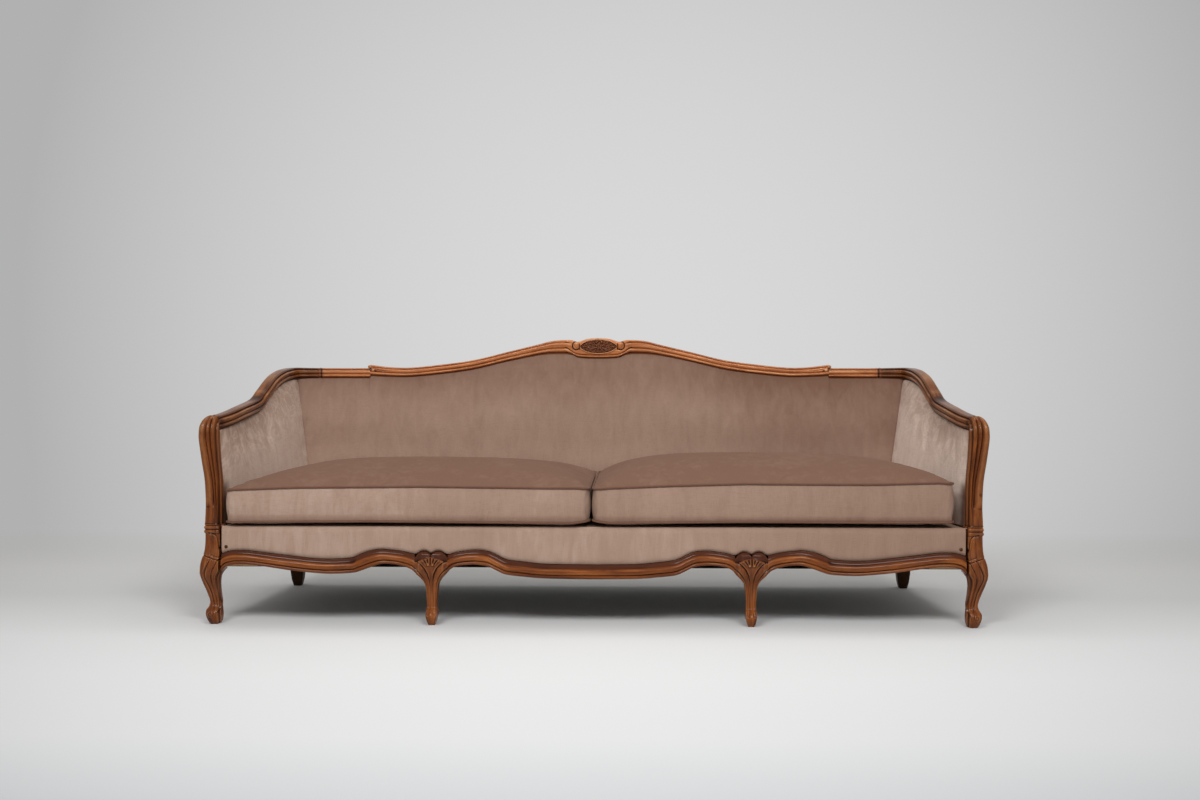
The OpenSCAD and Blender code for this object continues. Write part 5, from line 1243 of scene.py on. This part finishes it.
def outside_covers():
    """The outside back and arms: velvet drawn flat over the frame."""
    low = RAIL_LOW + ARCH + FACE_H + 0.3
    ups = np.linspace(0, 1, 24)
    reach = REAR_IN + 40
    xs = np.union1d(np.linspace(-reach, reach, 150),
                    [side * (CAMEL_X + step) for side in (-1, 1) for step in (-0.6, 0.6)])
    top = np.minimum(rail_under(xs), np.where(np.abs(xs) > SEAM_X, CORNER_UNDER, 1e9)) - 0.5
    y_low, y_top = REAR_FRONT_Y + BLOCK + 0.3, TOP_Y + TOP_D * 0.3

    def back(out):
        return np.array([ring(xs, between(y_low, y_top, s) + out
                              - 0.9 * math.sin(math.pi * s) * np.cos(xs / reach * math.pi / 2),
                              between(low, top, s)) for s in ups])

    piece = pad("outside_back", back(CLOTH_T), back(0))
    carried(piece, "nap_and_painted_light", 0.55)
    t = np.linspace(0, 1, 60)
    x = between(SIDE_FRONT_X, SIDE_REAR_X, t) + 0.3
    y = between(FRONT_BACK_Y + 0.3, REAR_FRONT_Y - 0.3, t)
    # Where the cover meets the underside of the arm rail
    foot = []
    for n, p in zip(arm_in, arm_foot):
        if abs(n[0]) < 0.3:
            break
        share = (p[1] - FRONT_BACK_Y) / (REAR_FRONT_Y - FRONT_BACK_Y)
        foot.append(p + n * ((between(SIDE_FRONT_X, SIDE_REAR_X, share) + CLOTH_T / 2 - p[0]) / n[0]))
    foot = np.array(foot)
    top = np.interp(y, foot[:, 1], foot[:, 2]) - 0.9
    hem = np.interp(t, SIDE_ROWS[:, 0], SIDE_ROWS[:, 1] + SIDE_ROWS[:, 2]) + 0.4
    for side, flip in SIDES:
        outer, inner = (ring((x + out) * flip, y, between(hem, top, ups[:, None])) for out in (CLOTH_T, 0.0))
        piece = pad(f"outside_arm_{side}", outer, inner)
        carried(piece, "nap_and_painted_light", 0.3)


def seat_deck():
    """The covered platform, the hessian over the springs, and the springs themselves."""
    front_x, rear_x = STILE_IN - 0.3, REAR_IN - 0.3
    front_y, rear_y = BOARD_FRONT_Y, REAR_FRONT_Y - 22
    floor_z = BOARD_TOP + 2 * CLIP_T + WIRE + 0.1

    def flat(z, crown):
        u, grid = np.linspace(-1, 1, 80), []
        for s in np.linspace(0, 1, 26):
            half = between(front_x, rear_x, s)
            edge = np.minimum((1 - np.abs(u)) * half, min(s, 1 - s) * (rear_y - front_y))
            grid.append(ring(u * half, between(front_y, rear_y, s), z - crown * (1 - np.clip(edge / 14, 0, 1)) ** 2))
        return np.array(grid)

    piece = pad("seat_platform", flat(DECK_H, 2.5), flat(floor_z + 1.5, 0))
    carried(piece, "nap_and_painted_light", 0.7)
    piece = pad("spring_hessian", flat(floor_z + 1.4, 0), flat(floor_z, 0), "hessian", hessian, "cloth", smooth=False)

    first_y, last_y = BOARD_FRONT_Y + BOARD_T / 2, REAR_FRONT_Y + BLOCK - BOARD_T / 2
    count = round((last_y - first_y) / 34)
    bend = (last_y - first_y) / count
    line = []
    for k in range(count):
        side, r, y = (1 if k % 2 == 0 else -1), bend / 2, first_y + (k + 0.5) * bend
        for a in np.radians(np.linspace(0, 180, 9)):
            line.append([side * (23 - r + r * math.sin(a)), y - r * math.cos(a), BOARD_TOP + CLIP_T + WIRE / 2])
    reach = REAR_IN - 95
    laid("seat_springs_wire", SPRINGS, [line], spring_steel, "spring_steel", "frame", ["seat_springs"],
         Wire_radius=0.0017, Count=SPRING_COUNT, First=-reach * MM, Spacing=reach * 2 / (SPRING_COUNT - 1) * MM)


def webs():
    """Nine straps behind the back pad."""
    points, faces = [], []
    for k in range(STRAP_COUNT):
        x = between(-CAMEL_X + 60, CAMEL_X - 60, k / (STRAP_COUNT - 1))
        head = rail_under(np.array([abs(x) + 22.5, abs(x) - 22.5])).min() - TOP_H - 0.2
        share = (head - PAD_Z) / (head + TOP_H - PAD_Z)
        strap = [np.array([ring(x + np.linspace(-STRAP_W, STRAP_W, 5) / 2,
                                between(CREASE_LOW[1], CREASE_TOP[1], s) + between(*PAD_THICK, s) + depth,
                                between(PAD_Z, head, s / share)) for s in np.linspace(0, share, 16)])
                 for depth in (1.75, 0.35)]
        new_points, new_faces = slab(*strap)
        faces.append(new_faces + k * len(new_points))
        points.append(new_points)
    made("back_webbing_straps", np.vstack(points), np.vstack(faces), webbing, "hessian", "frame", ["back_webbing"],
         smooth=False)


def dust_cover():
    """The black cloth under the frame, cut out round the middle legs, and its tacks."""
    under = RAIL_LOW + 29
    front_x, front_y = SIDE_FRONT_X - BOARD_T - 0.15, BOARD_BACK_Y + 0.15
    rear_x, rear_y = REAR_IN - 0.45, REAR_FRONT_Y + BLOCK - BOARD_T - 0.15
    cut_in, cut_out = MID_X - MID_W / 2 - 0.3, MID_X + MID_W / 2 + 0.3
    xs = np.unique(np.concatenate([np.linspace(-1, 1, 121) * front_x, [-cut_out, -cut_in, cut_in, cut_out]]))
    at_leg = (np.abs(xs) >= cut_in - 1e-6) & (np.abs(xs) <= cut_out + 1e-6)
    start = np.where(at_leg, MID_BACK_Y + 0.3, front_y)
    low, high = [], []
    for s in np.linspace(0, 1, 20):
        y = between(start, rear_y, s)
        half = np.interp(y, [front_y, REAR_FRONT_Y - 0.3], [front_x, rear_x])
        # The cuts' sides stay straight at first, and the cloth narrows behind them
        x = np.clip(between(xs / front_x * half, xs, 1 - soft_step(s, 0, 0.6)), -half, half)
        droop = 0.8 * math.sin(math.pi * s) * np.cos(xs / front_x * math.pi / 2)
        high.append(ring(x, y, under - 0.1))
        low.append(ring(x, y, under - 1.5 - droop))
    piece = pad("dust_cover", np.array(low), np.array(high), "dust_cloth", dust_cloth, "cloth", smooth=False)
    z = under - 2.1
    lines = [[[side * (front_x - 12), front_y + 12, z], [side * (rear_x - 12), rear_y - 12, z]] for side in (-1, 1)]
    for a, b, y in ((-(rear_x - 30), rear_x - 30, rear_y - 10), (-front_x + 30, -cut_out - 12, front_y + 10),
                    (-cut_in + 12, cut_in - 12, front_y + 10), (cut_out + 12, front_x - 30, front_y + 10)):
        lines.append([[a, y, z], [b, y, z]])
    laid("dust_cover_tacks", TACKS, lines, screw_steel, "screw_steel", Spacing=0.045, Head_radius=0.0036,
         Head_height=0.0012)


# Across, out from the back of the post, and up
PEG = (1122, 43.5, 385)


def peg():
    """The small dark plug in the right-hand front post."""
    turns = np.linspace(0, 2 * math.pi, 25)[:-1]
    rings = np.array([ring(PEG[0] + r * np.cos(turns), FRONT_BACK_Y - PEG[1] - 4.5 * t, PEG[2] + r * np.sin(turns))
                      for t, r in ((0, 4.2), (0.5, 4.2), (0.85, 3.6), (1, 0.4))])
    rings = rings if faces_out(rings) else rings[:, ::-1]
    k, m = rings.shape[:2]
    faces = [[i * m + j, i * m + (j + 1) % m, (i + 1) * m + (j + 1) % m, (i + 1) * m + j]
             for i in range(k - 1) for j in range(m)]
    faces += [list(range(m))[::-1], [(k - 1) * m + j for j in range(m)]]
    made("post_peg", rings.reshape(-1, 3), faces, peg_walnut, "carved_walnut")


# ---------------------------------------------------------------- camera, light and floor

EYE_TURN, EYE_TILT, EYE_AWAY, EYE_ASIDE, EYE_HEIGHT = math.radians(1.7), math.radians(90 - 1.54), 4.1, 0.026, 0.767
SENSOR, FOCAL_SHARE, SOFA_FRONT_Y = 36, 1411 / 1200, -0.35


def photographer():
    away = Vector((math.sin(EYE_TURN), -math.cos(EYE_TURN), 0))
    side = Vector((math.cos(EYE_TURN), math.sin(EYE_TURN), 0))
    lens = bpy.data.cameras.new("camera")
    lens.sensor_width, lens.lens, lens.clip_end = SENSOR, FOCAL_SHARE * SENSOR, 60
    eye = shown_in_scene("camera", lens)
    eye.location = Vector((0, SOFA_FRONT_Y, 0)) + away * EYE_AWAY + side * EYE_ASIDE + Vector((0, 0, EYE_HEIGHT))
    eye.rotation_euler = (EYE_TILT, 0, EYE_TURN)
    scene.camera = eye


def lamp(name, where, aim, size, power):
    light = bpy.data.lights.new(name, "AREA")
    light.shape = "RECTANGLE"
    light.size, light.size_y = size
    light.energy = power
    thing = shown_in_scene(name, light)
    thing.location = where
    thing.rotation_euler = (Vector(aim) - Vector(where)).to_track_quat("-Z", "Y").to_euler()


FRONT_LAMP_W, TOP_LAMP_W, ROOM_LIGHT = 141, 26, 0.47
# The paper: it lies flat, bends up behind and stands as a wall, in metres
PAPER_BEND, PAPER_START, PAPER_REACH, PAPER_TOP = 1.4, 5.0, 24.0, 7.0
# The paper's painted light and shade is worked out from this far in front; it deepens aside by the first number, no
# further than the second
PAPER_AHEAD, PAPER_FADE, PAPER_DEEPEST = 4.45, -0.8, 0.72
PAPER_PAINTED_TONES = [(0.22, (176, 179, 181)), (0.2575, (194, 196, 198)), (0.3, (209, 210, 211)), (0.37, (218, 219, 220)),
               (0.43, (221, 222, 223)), (0.52, (206, 207, 207)), (0.6, (212, 212, 211))]


def studio():
    """Two large soft lamps in front, left and right, a pale floor and a paper wall that curves up behind."""
    for name, aside in (("front_left", -1.6), ("front_right", 1.6)):
        lamp(name, where=(aside, -4.5, 4.25), aim=(0, 0, 0.3), size=(1.8, 1.8), power=FRONT_LAMP_W)
    lamp("top", where=(0, 0.4, 3.4), aim=(0, 0.1, 0.3), size=(4.0, 1.2), power=TOP_LAMP_W)
    scene.world = bpy.data.worlds.new("room")
    scene.world.use_nodes = True
    sky = scene.world.node_tree.nodes["Background"]
    sky.inputs["Color"].default_value = (1.0, 0.98, 0.95, 1)
    sky.inputs["Strength"].default_value = ROOM_LIGHT
    profile = [(-PAPER_REACH, 0.0)] + [(y, 0.0) for y in np.arange(-6, PAPER_START + 0.1, 1.0)]
    profile += [(PAPER_START + PAPER_BEND * math.sin(a), PAPER_BEND - PAPER_BEND * math.cos(a))
                for a in np.linspace(0.05, math.pi / 2, 24)]
    profile += [(PAPER_START + PAPER_BEND, PAPER_TOP)]
    points = [(x, y, z) for y, z in profile for x in (-PAPER_REACH, PAPER_REACH)]
    mesh = bpy.data.meshes.new("floor")
    mesh.from_pydata(points, [], [[2 * k, 2 * k + 1, 2 * k + 3, 2 * k + 2] for k in range(len(profile) - 1)])
    mesh.polygons.foreach_set("use_smooth", [True] * len(mesh.polygons))
    mesh.materials.append(paper())
    floor = shown_in_scene("floor", mesh)


def paper():
    """Pale paper with painted light and shade: a little deeper towards both sides, its tones changing with depth, its
    far part glowing.
    """
    f = Finish("studio_paper")
    x, y, z = f.add("ShaderNodeSeparateXYZ", {0: f.place()}).outputs
    # How far back from that place, and how far aside and up as a share of it
    back = f.sum(f.sum(y, PAPER_AHEAD, "ADD"), 2.0, "MAXIMUM")
    off = f.sum(x, back, "DIVIDE")
    high = f.sum(f.sum(f.sum(z, -EYE_HEIGHT, "ADD"), back, "DIVIDE"), -0.03, "ADD")
    off_squared, high_squared = f.sum(off, off, "MULTIPLY"), f.sum(high, high, "MULTIPLY")
    # Painted shade: deeper towards both sides; the tones by depth paint the floor darker near the front and under the
    # sofa
    fade = f.sum(f.sum(off_squared, PAPER_FADE, c=1.0), PAPER_DEEPEST, "MAXIMUM")
    depth = f.steps(f.sum(y, 0.125, c=0.5), [(at, shade(*chart)) for at, chart in PAPER_PAINTED_TONES])
    matt = f.surface(Base_Color=f.mixed(1.0, depth, fade, "MULTIPLY"), Roughness=0.9, Specular_IOR_Level=0.1)
    # The far floor and the wall glow for the camera with painted light, paler in the middle and at half height
    rays = f.add("ShaderNodeLightPath").outputs
    seen = f.sum(f.sum(rays["Is Camera Ray"], rays["Is Glossy Ray"], "MAXIMUM"), rays["Is Transmission Ray"],
                 "MAXIMUM")
    aside = f.sum(f.sum(f.sum(y, 0.65, "ADD"), 0.0, "ABSOLUTE"),
                  f.sum(f.sum(x, 0.0, "ABSOLUTE"), -1.3, "ADD"), "MAXIMUM")
    wall = f.steps(f.sum(aside, 1 / 1.2, c=-1.35 / 1.2), [(0.0, 0.0), (0.5, 0.5), (1.0, 1.0)])
    across = f.sum(off_squared, -1.87, c=f.sum(off, 0.03, c=1.0))
    strength = f.sum(f.sum(across, f.sum(high_squared, -2.0, c=1.0), "MULTIPLY"), 0.64, "MAXIMUM")
    glow = f.add("ShaderNodeEmission", {"Color": shade(216, 216, 216), "Strength": strength})
    blend = {0: f.sum(wall, seen, "MULTIPLY"), 1: matt, 2: glow.outputs[0]}
    return f.shown(f.add("ShaderNodeMixShader", blend).outputs[0])


scene.view_settings.view_transform = "Standard"
photographer()
studio()
seat_rails()
front_stiles()
middle_legs()
rear_stiles()
arm_rails()
top_rails()
back_pad()
arm_pads()
front_border()
outside_covers()
seat_deck()
webs()
dust_cover()
peg()
cushion("left", -1, crown=69.0, seed=11)
cushion("right", 1, crown=85.0, seed=12)
keep_finish(beech_along, "back_lower_rail")
keep_finish(beech_stained, "rear_seat_rail")
keep_finish(beech_deep, "seat_cross_rails", "corner_blocks", "arm_base_rails")
keep_finish(beech_upright, "back_uprights")
keep_finish(screw_steel, "corner_block_screws", "spring_clips")
keep_finish(nail_bronze, "border_nails")
